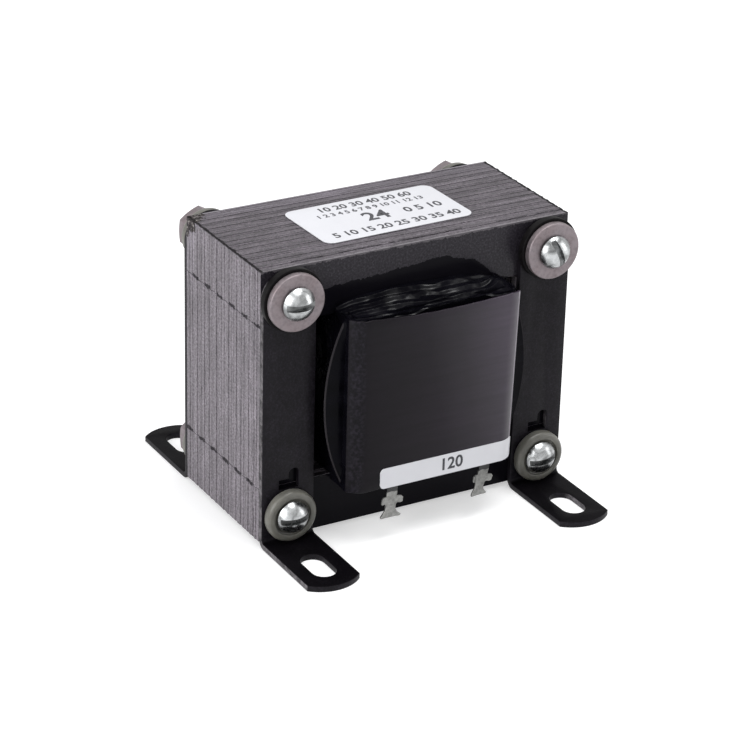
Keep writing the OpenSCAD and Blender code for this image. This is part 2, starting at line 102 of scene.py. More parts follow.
class TransformerLooks(bpy.types.PropertyGroup):
    """Sizes and colours of the transformer's visible surfaces"""
    strap_thickness: length("Strap Thickness", "Thickness of the folded foot straps", 1.2)
    strap_edge: length("Strap Edge", "Rounding along the straps' edges", 0.14)
    bend_radius: length("Bend Radius", "Radius inside the fold of a foot", 0.8)
    slot_width: length("Slot Width", "Width of a foot's mounting slot", 4.8)
    slot_length: length("Slot Length", "Length of a foot's mounting slot", 9.0)
    slot_reach: length("Slot Reach", "Distance from the core to the middle of a slot", 13.6)
    foot_radius: length("Foot Radius", "Radius of a foot's curved end", 8.0)
    head_width: length("Head Width", "Diameter of the domed screw heads", 6.6)
    head_height: length("Head Height", "Height of the domed screw heads", 2.6)
    driver_slot: length("Driver Slot", "Width of the screwdriver slots", 1.2)
    driver_depth: length("Driver Slot Depth", "Depth of the screwdriver slots", 1.5)
    steel_washer: length("Steel Washer", "Diameter of the steel washers", 11.4)
    fibre_washer: length("Fibre Washer", "Diameter of the black fibre washers", 12.4)
    nylon_washer: length("Nylon Washer", "Diameter of the nylon washers", 10.5)
    nylon_recess: length("Nylon Recess", "Diameter of the recess round a head", 7.6)
    pad_thickness: length("Pad Thickness", "Thickness of the pads over the coil", 0.5)
    pad_radius: length("Pad Radius", "Radius of the pads' bent corners", 4.0)
    coil_width: length("Coil Width", "Width over the pads before they end", 38.45)
    pad_bend: FloatProperty(name="Pad Bend", description="How far a pad is bent round a corner, in degrees",
                            default=60.0)
    ear_radius: length("Ear Radius", "Radius of the wrap's curved ears", 38.3)
    lug_thickness: length("Lug Thickness", "Thickness of the solder lugs", 0.4)
    strip_text: StringProperty(name="Strip Number", description="Plain number on the coil's strip",
                               default="120")
    strip_text_height: length("Strip Number Height", "Height of the number on the strip", 2.5)
    print_height: length("Print Height", "Height of the tall figures on the core's label", 3.9)
    lean: length("Lean", "How far the coil's right side leans in at the bottom", 1.0)
    paper_seed: IntProperty(name="Paper Seed", description="Seed of the torn paper's edge", default=7)
    edge_colour: shade("Plate Edges", "Colour of the varnished plate edges", (0.165, 0.148, 0.166))
    face_colour: shade("Plate Faces", "Colour of the varnished plate faces", (0.0046, 0.0041, 0.006))
    strap_colour: shade("Straps", "Colour of the blackened straps", (0.0052, 0.0044, 0.006))
    pad_colour: shade("Pads", "Colour of the pads over the coil", (0.0165, 0.0118, 0.0192))
    wrap_colour: shade("Wrap", "Colour of the varnished paper", (0.0016, 0.0015, 0.0024))
    plating_colour: shade("Plating", "Colour of the plated screws", (0.42, 0.43, 0.435))
    washer_colour: shade("Washers", "Colour of the steel washers", (0.215, 0.183, 0.192))
    nylon_colour: shade("Nylon", "Colour of the nylon washers", (0.12, 0.117, 0.102))
    tin_colour: shade("Tin", "Colour of the tinned lugs", (0.27, 0.27, 0.26))
    label_colour: shade("Labels", "Colour of the labels", (0.63, 0.63, 0.66))
    ink_colour: shade("Ink", "Colour of the printing", (0.015, 0.015, 0.02))


def as_colour(value):
    """A colour as it is, or a number as a grey."""
    return value if hasattr(value, "__len__") else (value, value, value)


def dimmed(colour, share):
    """A colour made darker, or lighter up to white."""
    return tuple(min(1.0, part * share) for part in colour)


# ---------------------------------------------------------------- Material nodes

class Finish:
    """A procedural material under construction: one Principled shader and the nodes before it."""

    def __init__(self, name, colour, roughness, metallic=0.0):
        self.material = bpy.data.materials.new(name)
        self.material.use_nodes = True
        self.tree = self.material.node_tree
        self.tree.nodes.clear()
        self.shader = self.add("ShaderNodeBsdfPrincipled")
        output = self.add("ShaderNodeOutputMaterial")
        self.join(self.shader.outputs[0], output.inputs["Surface"])
        self.shader.inputs["Base Color"].default_value = (*colour, 1.0)
        self.shader.inputs["Roughness"].default_value = roughness
        self.shader.inputs["Metallic"].default_value = metallic
        self.place = self.add("ShaderNodeTexCoord").outputs["Object"]

    def add(self, kind, **settings):
        node = self.tree.nodes.new(kind)
        for key, value in settings.items():
            setattr(node, key, value)
        return node

    def join(self, source, target):
        self.tree.links.new(source, target)

    def set(self, **values):
        for key, value in values.items():
            self.shader.inputs[key.replace("_", " ")].default_value = value

    def stretched(self, scale, offset=(0, 0, 0)):
        """The place on the object, scaled differently along each axis."""
        mapping = self.add("ShaderNodeMapping")
        mapping.inputs["Scale"].default_value = scale
        mapping.inputs["Location"].default_value = offset
        self.join(self.place, mapping.inputs["Vector"])
        return mapping.outputs[0]

    def noise(self, scale, detail=4.0, rough=0.55, vector=None, distortion=0.0):
        node = self.add("ShaderNodeTexNoise")
        node.inputs["Scale"].default_value = scale
        node.inputs["Detail"].default_value = detail
        node.inputs["Roughness"].default_value = rough
        node.inputs["Distortion"].default_value = distortion
        self.join(vector or self.place, node.inputs["Vector"])
        return node.outputs[0]

    def axes(self):
        """The place on the object as its x, y and z."""
        node = self.add("ShaderNodeSeparateXYZ")
        self.join(self.place, node.inputs[0])
        return node.outputs

    def normal(self, kind="True Normal"):
        """The surface's direction as its x, y and z, all positive."""
        node = self.add("ShaderNodeSeparateXYZ")
        self.join(self.add("ShaderNodeNewGeometry").outputs[kind], node.inputs[0])
        return [self.math("ABSOLUTE", part) for part in node.outputs]

    def above(self, value, limit):
        """One where the value is over the limit, else nought."""
        return self.math("GREATER_THAN", value, limit)

    def times(self, first, *others):
        """The product of values, or of colours when one of them is a colour."""
        for other in others:
            first = self.between(1.0, first, other, "MULTIPLY")
        return first

    def math(self, operation, a, b=0.0, clamp=False):
        """A sum, product or comparison of two values."""
        node = self.add("ShaderNodeMath", operation=operation, use_clamp=clamp)
        for socket, value in zip(node.inputs, (a, b)):
            if hasattr(value, "links"):
                self.join(value, socket)
            else:
                socket.default_value = value
        return node.outputs[0]

    def ramp(self, value, stops):
        """Maps a value through stops given as (position, grey or colour)."""
        node = self.add("ShaderNodeValToRGB")
        points = node.color_ramp.elements
        while len(points) < len(stops):
            points.new(0.5)
        for point, (position, colour) in zip(points, stops):
            point.position = position
            point.color = (*as_colour(colour), 1.0)
        self.join(value, node.inputs[0])
        return node.outputs[0]

    def between(self, factor, a, b, blend="MIX"):
        """A mix of two greys or colours."""
        node = self.add("ShaderNodeMix", data_type="RGBA", blend_type=blend)
        colours = [s for s in node.inputs if s.type == "RGBA"]
        if hasattr(factor, "links"):
            self.join(factor, node.inputs[0])
        else:
            node.inputs[0].default_value = factor
        for socket, value in zip(colours, (a, b)):
            if hasattr(value, "links"):
                self.join(value, socket)
            else:
                socket.default_value = (*as_colour(value), 1.0)
        return next(s for s in node.outputs if s.type == "RGBA")

    def colour(self, source):
        self.join(source, self.shader.inputs["Base Color"])

    def roughness(self, source):
        self.join(source, self.shader.inputs["Roughness"])

    def specular(self, source):
        self.join(source, self.shader.inputs["Specular IOR Level"])

    def bump(self, height, strength, distance):
        node = self.add("ShaderNodeBump")
        node.inputs["Strength"].default_value = strength
        node.inputs["Distance"].default_value = distance
        self.join(height, node.inputs["Height"])
        self.join(node.outputs[0], self.shader.inputs["Normal"])


def edge_tone(finish, looks, fine, plate):
    """Streaky grey of the plates' edges, each plate its own shade, with a painted sheen towards the rear top
    corner.
    """
    calc = finish.math
    _, y, z = finish.axes()
    chance = finish.add("ShaderNodeTexWhiteNoise", noise_dimensions="1D")
    finish.join(plate, chance.inputs["W"])
    own = finish.ramp(chance.outputs["Value"], ((0.0, 0.9), (0.3, 0.97), (0.75, 1.02), (1.0, 1.08)))
    broad = finish.noise(1.0, 5.0, 0.65, finish.stretched((60.0, 760.0, 60.0), (3.1, 1.7, 5.2)), 0.5)
    patch = finish.noise(1.0, 3.0, 0.6, finish.stretched((160.0, 420.0, 160.0), (1.0, 8.0, 3.0)))
    grit = finish.noise(2100.0, 4.0, 0.7)
    tone = finish.times(finish.ramp(fine, ((0.3, 0.62), (0.44, 0.9), (0.55, 1.06), (0.7, 1.35))),
                        finish.ramp(broad, ((0.32, 0.76), (0.5, 1.0), (0.68, 1.18))),
                        finish.ramp(patch, ((0.32, 0.86), (0.68, 1.14))),
                        finish.ramp(grit, ((0.36, 0.5), (0.5, 1.0), (0.64, 1.55))), own)
    side = finish.times(tone, tuple(looks.edge_colour))
    # painted sheen: the edges turn paler, with streaks, towards the rear top corner
    painted_rear_sheen = calc("MULTIPLY", finish.ramp(calc("DIVIDE", y, FACE), ((0.66, 0.0), (0.92, 1.0))),
                finish.ramp(calc("DIVIDE", z, CORE_TOP), ((0.72, 0.0), (0.98, 0.6))))
    painted_rear_sheen = calc("MULTIPLY", painted_rear_sheen, finish.ramp(fine, ((0.42, 0.0), (0.56, 1.0))))
    return finish.between(painted_rear_sheen, side, (0.36, 0.33, 0.38))


def core_cracks(finish, plate):
    """Dark butt joints that step up and down by packs, gaps between plates, and one lifted plate."""
    calc = finish.math
    _, y, z = finish.axes()
    odd = calc("MODULO", calc("FLOOR", calc("DIVIDE", plate, PLATES_PER_PACK)), 2.0)
    stray = finish.noise(1.0, 2.0, 0.5, finish.stretched((40.0, 330.0, 40.0), (5, 5, 5)))
    stray = finish.above(stray, 0.66)
    wobble = calc("MULTIPLY", calc("SUBTRACT", finish.noise(800.0, 3.0, 0.6), 0.5), 1.3 * MM)
    joints = None
    for height, picks in ((CORE_BOTTOM + LEG, odd), (CORE_TOP - LEG, calc("SUBTRACT", 1.0, odd))):
        off = calc("ABSOLUTE", calc("SUBTRACT", calc("ADD", z, wobble), height))
        hit = calc("MULTIPLY", calc("LESS_THAN", off, 0.36 * MM), calc("MAXIMUM", picks, stray))
        joints = hit if joints is None else calc("MAXIMUM", joints, hit)
    gap = finish.noise(1.0, 4.0, 0.62, finish.stretched((150.0, 1200.0, 150.0), (9, 4, 2)), 0.3)
    gap = finish.above(gap, 0.65)
    lifted = calc("SUBTRACT", calc("ADD", y, calc("MULTIPLY", wobble, 0.5)), 2.1 * MM - FACE)
    lifted = calc("LESS_THAN", calc("ABSOLUTE", lifted), 0.15 * MM)
    lifted = calc("MULTIPLY", lifted, finish.above(finish.noise(130.0, 2.0), 0.5))
    crack = calc("MAXIMUM", calc("MULTIPLY", joints, 0.88), calc("MULTIPLY", gap, 0.4))
    return calc("MAXIMUM", crack, calc("MULTIPLY", lifted, 0.85))


def core_top(finish, side, fray, ends):
    """The top of the stack: the edges' colour darkened as painted shade, with darker wavy streaks, chipped
    front and rear edges and black end edges.
    """
    calc = finish.math
    wave = finish.noise(1.0, 4.0, 0.6, finish.stretched((45.0, 420.0, 45.0), (2.0, 6.0, 4.0)), 1.4)
    # painted shade: the top takes the edges' colour at about half brightness
    top = finish.times(side, (0.49, 0.475, 0.49), finish.ramp(wave, ((0.34, 0.72), (0.5, 1.0), (0.64, 1.3))))
    chips = finish.above(calc("ADD", calc("ABSOLUTE", finish.axes()[1]), fray), FACE - 0.42 * MM)
    top = finish.between(calc("MULTIPLY", chips, 0.6), top, (0.2, 0.185, 0.2))
    return finish.between(calc("MULTIPLY", ends, 0.96), top, (0.005, 0.004, 0.005))


def varnish_line(finish):
    """Height up to which wet varnish covers the stack's faces, from side to side."""
    calc = finish.math
    reach, base, rise = 24.0, 40.0, 15.0
    heights = ((-24.0, 50.0), (-18.0, 51.1), (-11.4, 51.4), (-1.9, 52.0), (4.5, 52.7), (6.5, 52.6),
               (9.5, 51.4), (12.0, 50.9), (14.2, 49.4), (16.7, 47.1), (19.0, 46.0), (24.0, 44.0))
    across = calc("DIVIDE", calc("ADD", finish.axes()[0], reach * MM), 2 * reach * MM)
    line = finish.ramp(across, [((x + reach) / (2 * reach), (z - base) / rise) for x, z in heights])
    line = calc("ADD", calc("MULTIPLY", line, rise * MM), base * MM)
    ragged = calc("MULTIPLY", calc("SUBTRACT", finish.noise(330.0, 5.0, 0.7), 0.5), 2.4 * MM)
    return calc("ADD", line, ragged)


def face_skin(finish, looks, fray):
    """Colour of the stack's faces, glossy below the varnish line and dry above it with a painted sheen, and
    where it is wet.
    """
    calc = finish.math
    x, _, z = finish.axes()
    wet = calc("MULTIPLY", calc("LESS_THAN", z, varnish_line(finish)),
               calc("LESS_THAN", calc("ABSOLUTE", x), 22.4 * MM))
    wet = calc("MAXIMUM", wet, calc("LESS_THAN", z, CORE_MID_Z))
    # painted sheen: the dry band above the varnish line is lightened, over its real speckle
    dry_and_painted_sheen = finish.ramp(finish.noise(2300.0, 4.0, 0.7), ((0.36, (0.011, 0.0095, 0.0125)),
                                                       (0.5, (0.0195, 0.017, 0.022)),
                                                       (0.68, (0.042, 0.038, 0.046))))
    skin = finish.between(wet, dry_and_painted_sheen, tuple(looks.face_colour))
    bare = finish.above(calc("ADD", z, calc("MULTIPLY", fray, 0.9)), CORE_TOP - 0.36 * MM)
    return finish.between(calc("MULTIPLY", bare, 0.8), skin, (0.11, 0.1, 0.11)), wet


def core_finish(looks):
    """Varnished laminations: streaky grey edges, dark joints and glossy black faces."""
    finish = Finish("varnished_laminations", looks.edge_colour, 0.46)
    calc = finish.math
    x, y, z = finish.axes()
    _, face, level = finish.normal()
    face = calc("MULTIPLY", finish.above(face, 0.5), finish.above(calc("ABSOLUTE", y), FACE - 0.2 * MM))
    level = finish.above(level, 0.5)
    plate = calc("FLOOR", calc("DIVIDE", calc("ADD", y, FACE), PLATE_PITCH))
    fine = finish.noise(1.0, 6.0, 0.75, finish.stretched((170.0, 2600.0, 170.0)), 0.3)
    fray = calc("MULTIPLY", calc("SUBTRACT", finish.noise(460.0, 5.0, 0.75), 0.5), 2.6 * MM)

    crack = core_cracks(finish, plate)
    side = finish.between(crack, edge_tone(finish, looks, fine, plate), (0.012, 0.01, 0.013))
    ends = calc("ADD", calc("ABSOLUTE", x), calc("MULTIPLY", fray, 0.5))
    ends = finish.above(ends, CORE_HIGH[0] - 0.62 * MM)
    top = core_top(finish, side, fray, ends)
    rim = finish.above(calc("ADD", z, calc("MULTIPLY", fray, 0.25)), CORE_TOP - 0.16 * MM)
    side = finish.between(calc("MULTIPLY", rim, 0.75), side, (0.02, 0.017, 0.02))
    edge = finish.between(level, side, top)

    spread = finish.add("ShaderNodeVectorMath", operation="DISTANCE")
    finish.join(finish.place, spread.inputs[0])
    spread.inputs[1].default_value = (-CORE_HIGH[0], FACE, CORE_TOP)
    blob = calc("LESS_THAN", calc("SUBTRACT", spread.outputs["Value"], calc("MULTIPLY", fray, 2.2)), 3.4 * MM)
    lumps = finish.ramp(finish.noise(1300.0, 4.0, 0.7), ((0.44, (0.006, 0.005, 0.005)),
                                                         (0.55, (0.04, 0.033, 0.03)),
                                                         (0.66, (0.3, 0.28, 0.27))))
    edge = finish.between(calc("MULTIPLY", blob, 0.9), edge, lumps)

    skin, wet = face_skin(finish, looks, fray)
    finish.colour(finish.between(face, edge, skin))
    gloss = finish.between(wet, 0.32, 0.2)
    finish.roughness(finish.between(face, 0.46, gloss))
    tarred = calc("MAXIMUM", calc("MAXIMUM", crack, blob), calc("MULTIPLY", ends, level))
    shine = finish.between(wet, 0.17, 0.045)
    finish.specular(finish.between(face, finish.ramp(tarred, ((0.0, 0.3), (0.8, 0.04))), shine))
    ripple = finish.noise(150.0, 3.0, 0.5, finish.stretched((0.5, 1.0, 1.4)), 0.4)
    ripple = calc("MULTIPLY", ripple, calc("MULTIPLY", face, 0.45))
    finish.bump(calc("ADD", ripple, calc("MULTIPLY", fine, calc("SUBTRACT", 1.0, face))), 0.7, 0.00014)
    return finish.material


def strap_finish(looks):
    """Blackened sheet steel with a fine grain, dull and darkened with painted shade on the feet, and lighter
    along its cut sides, partly bare steel and partly painted light.
    """
    finish = Finish("blackened_steel", looks.strap_colour, 0.4)
    calc = finish.math
    level = finish.normal()[2]
    finish.specular(finish.ramp(level, ((0.3, 0.12), (0.9, 0.03))))
    x, y, _ = finish.axes()
    # lighter outer front cut sides: partly bare steel, partly painted light
    cut = calc("MULTIPLY", calc("SUBTRACT", finish.normal("Normal")[0], 0.72), 5.0, True)
    outer = calc("MULTIPLY", calc("LESS_THAN", y, 0.0), finish.above(calc("ABSOLUTE", x), BOLT_X))
    cut = calc("MULTIPLY", cut, outer)
    grain = finish.noise(2600.0, 5.0, 0.7)
    patch = finish.noise(240.0, 4.0, 0.6)
    tint = finish.ramp(patch, ((0.35, looks.strap_colour), (0.7, dimmed(looks.strap_colour, 1.8))))
    # painted shade: flat faces such as the feet are darkened to about a third
    tint = finish.times(tint, finish.ramp(grain, ((0.3, 0.4), (0.5, 1.0), (0.66, 2.2))),
                        finish.ramp(level, ((0.3, 1.0), (0.9, 0.35))))
    bare = finish.ramp(finish.noise(700.0, 5.0, 0.7), ((0.4, (0.02, 0.018, 0.02)),
                                                       (0.62, (0.15, 0.14, 0.15))))
    finish.colour(finish.between(cut, tint, bare))
    finish.roughness(finish.ramp(grain, ((0.3, 0.36), (0.7, 0.55))))
    finish.bump(calc("ADD", grain, calc("MULTIPLY", patch, 2.0)), 0.4, 0.00007)
    return finish.material


def pad_finish(looks):
    """Smooth grey insulating board, more polished and lighter with painted sheen to one side, with a painted
    highlight along its right bent edge, and speckled with painted light where it is bent on the left.
    """
    finish = Finish("insulating_board", looks.pad_colour, 0.42)
    calc = finish.math
    turned = finish.normal("Normal")[0]
    grain = finish.noise(1500.0, 5.0, 0.65)
    brushed = finish.noise(1.0, 5.0, 0.6, finish.stretched((70.0, 70.0, 900.0)))
    cloud = finish.noise(70.0, 3.0, 0.5)
    x, _, z = finish.axes()
    across = calc("ADD", calc("MULTIPLY", x, 26.0), 0.5)
    across = calc("ADD", across, calc("MULTIPLY", calc("SUBTRACT", z, CORE_MID_Z), 5.0))
    # painted sheen: the board lightens from left to right
    painted_sheen_gradient = finish.ramp(across, ((0.05, 0.22), (0.4, 0.36), (0.68, 0.7), (0.95, 1.95)))
    # painted light on the left bend, with speckle
    bent = finish.ramp(turned, ((0.05, 0.0), (0.3, 1.0), (0.72, 1.0), (0.86, 0.35)))
    bent = calc("MULTIPLY", bent, calc("LESS_THAN", x, 0.0))
    speck_and_painted_light = finish.ramp(grain, ((0.38, (0.7, 0.85, 0.75)), (0.5, (1.5, 1.8, 1.6)), (0.62, (3.2, 3.8, 3.3))))
    speck_and_painted_light = finish.between(bent, 1.0, speck_and_painted_light)
    tone = finish.times(finish.ramp(cloud, ((0.3, 0.85), (0.7, 1.2))), speck_and_painted_light, painted_sheen_gradient,
                        finish.ramp(brushed, ((0.35, 0.86), (0.65, 1.12))))
    # painted highlight along the right bent edge
    rim = calc("MULTIPLY", finish.above(turned, 0.62), finish.above(x, 0.0))
    finish.colour(finish.between(rim, finish.times(tone, tuple(looks.pad_colour)), (0.24, 0.22, 0.25)))
    finish.specular(finish.ramp(across, ((0.05, 0.1), (0.5, 0.16), (0.95, 0.42))))
    finish.roughness(finish.ramp(cloud, ((0.3, 0.32), (0.7, 0.44))))
    finish.bump(calc("ADD", grain, brushed), 0.22, 0.00006)
    return finish.material


def wrap_finish(looks):
    """Paper soaked in black varnish, wet-looking and lumpy at the coil's ends."""
    finish = Finish("varnished_paper", looks.wrap_colour, 0.3)
    calc = finish.math
    x, _, z = finish.axes()
    aside = calc("ABSOLUTE", x)
    lumps = finish.noise(260.0, 4.0, 0.5, finish.stretched((0.4, 1.0, 1.0)), 0.5)
    fine = finish.noise(1500.0, 3.0, 0.6, finish.stretched((0.35, 1.0, 1.0)))
    end = finish.above(z, PAD_HIGH[2] - 0.8 * MM)
    wet = finish.ramp(finish.noise(210.0, 3.0, 0.6), ((0.45, 0.03), (0.62, 0.22)))
    right = calc("ADD", calc("MULTIPLY", x, 25.0), 0.5)
    wet = finish.times(wet, finish.ramp(right, ((0.1, 0.25), (0.35, 1.0))))
    finish.specular(finish.between(end, 0.04, wet))
    ear_x = calc("SUBTRACT", aside, WRAP_REACH - looks.ear_radius)
    ear_z = calc("SUBTRACT", z, CORE_MID_Z)
    far = calc("ADD", calc("MULTIPLY", ear_x, ear_x), calc("MULTIPLY", ear_z, ear_z))
    rim = finish.above(far, (looks.ear_radius - 0.26 * MM) ** 2)
    rim = calc("MULTIPLY", rim, finish.above(aside, looks.coil_width / 2 - 0.9 * MM))
    finish.roughness(finish.ramp(lumps, ((0.35, 0.14), (0.7, 0.34))))
    soaked = finish.ramp(lumps, ((0.3, looks.wrap_colour), (0.75, dimmed(looks.wrap_colour, 2.4))))
    finish.colour(finish.between(rim, soaked, (0.032, 0.029, 0.032)))
    finish.bump(calc("ADD", lumps, calc("MULTIPLY", fine, 0.12)), 0.25, 0.0004)
    return finish.material


def plating_finish(looks):
    """Bright plated steel with faint marks and painted shade in the slots of the heads."""
    finish = Finish("bright_plating", looks.plating_colour, 0.25, 1.0)
    calc = finish.math
    marks = finish.noise(1100.0, 4.0, 0.6)
    clouds = finish.noise(380.0, 3.0, 0.5, distortion=1.2)
    tone = finish.ramp(clouds, ((0.36, dimmed(looks.plating_colour, 0.45)),
                                (0.5, dimmed(looks.plating_colour, 0.85)),
                                (0.64, dimmed(looks.plating_colour, 1.2))))
    _, y, z = finish.axes()
    upper = finish.above(z, CORE_MID_Z)
    seat = calc("MULTIPLY", upper, seat_of(True) - seat_of(False))
    under = calc("ADD", calc("ADD", y, seat), seat_of(False) + looks.head_height - 0.3 * MM)
    slot = calc("MULTIPLY", finish.above(under, 0.0), calc("LESS_THAN", y, 0.0))
    slot = calc("MULTIPLY", slot, finish.above(finish.normal()[1], 0.97))
    # painted shade on the slot floors, stronger in the lower heads
    slot_shade = calc("MULTIPLY", slot, calc("SUBTRACT", 0.8, calc("MULTIPLY", upper, 0.3)))
    finish.colour(finish.between(slot_shade, tone, 0.03))
    finish.roughness(finish.ramp(calc("ADD", calc("MULTIPLY", slot, 0.4), marks),
                                 ((0.3, 0.1875), (0.7, 0.375), (1.0, 0.55))))
    finish.bump(calc("ADD", marks, clouds), 0.12, 0.00005)
    return finish.material


def washer_finish(looks, name="dull_plating"):
    """Dull plated steel with a tumbled, mottled surface."""
    finish = Finish(name, looks.washer_colour, 0.45, 0.7)
    spots = finish.noise(1300.0, 5.0, 0.7)
    clouds = finish.noise(300.0, 3.0)
    tone = finish.ramp(spots, ((0.35, dimmed(looks.washer_colour, 0.55)), (0.58, looks.washer_colour)))
    tint = finish.ramp(clouds, ((0.3, (0.2, 0.15, 0.155)), (0.7, (0.3, 0.27, 0.29))))
    finish.colour(finish.between(0.3, tone, tint))
    finish.roughness(finish.ramp(spots, ((0.3, 0.36), (0.7, 0.6))))
    finish.bump(spots, 0.35, 0.00007)
    return finish.material


def nylon_finish(looks):
    """Cloudy natural nylon."""
    finish = Finish("cloudy_nylon", looks.nylon_colour, 0.34)
    finish.set(Subsurface_Weight=0.4, Subsurface_Scale=0.001, Specular_IOR_Level=0.4)
    finish.shader.inputs["Subsurface Radius"].default_value = (1.0, 0.95, 0.8)
    haze = finish.noise(260.0, 3.0)
    finish.colour(finish.ramp(haze, ((0.3, dimmed(looks.nylon_colour, 0.75)),
                                     (0.7, dimmed(looks.nylon_colour, 1.25)))))
    finish.bump(haze, 0.1, 0.0001)
    return finish.material


def fibre_finish():
    """Hard black fibre."""
    finish = Finish("black_fibre", (0.007, 0.0065, 0.006), 0.5)
    finish.set(Specular_IOR_Level=0.07)
    grain = finish.noise(1400.0, 4.0, 0.65)
    finish.colour(finish.ramp(grain, ((0.3, (0.0026, 0.0023, 0.0026)), (0.7, (0.007, 0.0063, 0.0065)))))
    finish.bump(grain, 0.3, 0.00008)
    return finish.material


def tin_finish(looks):
    """Tinned brass, softly grained, black and not metallic above a wavy line where it leaves the coil."""
    finish = Finish("tinned_brass", looks.tin_colour, 0.36, 0.85)
    calc = finish.math
    grain = finish.noise(1500.0, 5.0, 0.65)
    tin = finish.ramp(grain, ((0.3, dimmed(looks.tin_colour, 0.5)), (0.65, looks.tin_colour)))
    shift = calc("MULTIPLY", calc("SUBTRACT", finish.noise(700.0, 2.0), 0.5), 0.8 * MM)
    high = finish.above(calc("ADD", finish.axes()[2], shift), PAD_LOW[2] - 1.35 * MM)
    finish.colour(finish.between(high, tin, (0.006, 0.006, 0.007)))
    bare = calc("MULTIPLY", calc("SUBTRACT", 1.0, high), 0.85)
    finish.join(bare, finish.shader.inputs["Metallic"])
    finish.roughness(finish.ramp(grain, ((0.3, 0.32), (0.7, 0.52))))
    finish.bump(grain, 0.2, 0.00006)
    return finish.material


def paper_finish(name, light, dark, scale=500.0):
    """Plain paper or board between two tones."""
    finish = Finish(name, light, 0.7)
    fibres = finish.noise(scale, 5.0, 0.65)
    finish.colour(finish.ramp(fibres, ((0.3, dark), (0.7, light))))
    finish.bump(fibres, 0.2, 0.0001)
    return finish.material


def label_finish(looks):
    """Coated white label paper."""
    finish = Finish("label_paper", looks.label_colour, 0.38)
    fibres = finish.noise(180.0, 4.0, 0.6)
    finish.colour(finish.ramp(fibres, ((0.3, dimmed(looks.label_colour, 0.96)), (0.7, looks.label_colour))))
    finish.bump(fibres, 0.05, 0.0001)
    return finish.material


def ink_finish(looks):
    """Black printing ink, uneven at its edges."""
    finish = Finish("printing_ink", looks.ink_colour, 0.5)
    fine = finish.noise(3000.0, 3.0)
    finish.colour(finish.ramp(fine, ((0.3, looks.ink_colour), (0.8, (0.05, 0.05, 0.06)))))
    return finish.material


def copper_finish():
    """Enamelled copper wire, laid in level turns."""
    finish = Finish("enamelled_copper", (0.36, 0.12, 0.05), 0.35, 0.7)
    wave = finish.add("ShaderNodeTexWave", bands_direction="Z")
    wave.inputs["Scale"].default_value = 700.0
    wave.inputs["Distortion"].default_value = 0.4
    finish.join(finish.place, wave.inputs["Vector"])
    turns = wave.outputs["Color"]
    finish.colour(finish.ramp(turns, ((0.1, (0.12, 0.035, 0.015)), (0.8, (0.42, 0.15, 0.06)))))
    finish.bump(turns, 0.5, 0.0001)
    return finish.material


# ---------------------------------------------------------------- Mesh helpers

def dressed(obj, material, *nodes, angle=38.0):
    """Puts a finished piece in the scene in place of its solids."""
    obj.data.materials.clear()
    obj.data.materials.append(material)
    for face in obj.data.polygons:
        face.use_smooth = True
    obj.data.set_sharp_from_angle(angle=math.radians(angle))
    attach(obj, "root")
    if nodes:
        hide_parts(*nodes)
    return obj


def object_from(bm, name):
    """An object made of a bmesh, with its faces turned outward."""
    bmesh.ops.recalc_face_normals(bm, faces=bm.faces)
    mesh = bpy.data.meshes.new(name)
    bm.to_mesh(mesh)
    bm.free()
    obj = bpy.data.objects.new(name, mesh)
    bpy.context.scene.collection.objects.link(obj)
    return obj


def baked(obj):
    """Applies the object's modifiers."""
    graph = bpy.context.evaluated_depsgraph_get()
    mesh = bpy.data.meshes.new_from_object(obj.evaluated_get(graph))
    obj.modifiers.clear()
    obj.data = mesh
    return obj


def bevelled(obj, width, segments=2, angle=40.0):
    """Rounds the object's sharp edges."""
    bevel = obj.modifiers.new("edges", "BEVEL")
    bevel.width = width
    bevel.segments = segments
    bevel.limit_method = "ANGLE"
    bevel.angle_limit = math.radians(angle)
    bevel.miter_outer = "MITER_ARC"
    return baked(obj)


def turn_profile(bm, profile, place, steps=72, closed=True, start=0.0, sweep=360.0, climb=0.0):
    """Turns a profile of (radius, height) points round the local Z axis."""
    full = abs(sweep - 360.0) < 1e-6
    columns = []
    for i in range(steps + (0 if full else 1)):
        a = math.radians(start + sweep * i / steps)
        rise = climb * (i / steps - 0.5)
        columns.append([bm.verts.new(place @ Vector((r * math.cos(a), r * math.sin(a), h + rise)))
                        for r, h in profile])
    n = len(profile)
    for i in range(steps):
        a, b = columns[i], columns[(i + 1) % len(columns)]
        for k in range(n if closed else n - 1):
            m = (k + 1) % n
            ring = [a[k], b[k], b[m], a[m]]
            bm.faces.new(ring)
    if not full and closed:
        bm.faces.new(columns[0])
        bm.faces.new(list(reversed(columns[-1])))
    bmesh.ops.remove_doubles(bm, verts=bm.verts, dist=1e-8)


def arc_points(cx, cy, r, start, end, steps):
    """Points on an arc, from the start angle to the end angle in degrees."""
    return [(cx + r * math.cos(math.radians(start + (end - start) * i / steps)),
             cy + r * math.sin(math.radians(start + (end - start) * i / steps)))
            for i in range(steps + 1)]


def ring_profile(r_in, r_out, low, high, inner_edge, outer_edge, steps=4):
    """A washer's section with rounded edges, as closed (radius, height) points."""
    return (arc_points(r_out - outer_edge, low + outer_edge, outer_edge, -90, 0, steps)
            + arc_points(r_out - outer_edge, high - outer_edge, outer_edge, 0, 90, steps)
            + arc_points(r_in + inner_edge, high - inner_edge, inner_edge, 90, 180, steps)
            + arc_points(r_in + inner_edge, low + inner_edge, inner_edge, 180, 270, steps))


def facing(x, y, z, rear=False):
    """Places local Z along the bolt, pointing out of the front (or rear) face."""
    turn = Matrix.Rotation(math.radians(-90 if rear else 90), 4, "X")
    return Matrix.Translation((x, y, z)) @ turn


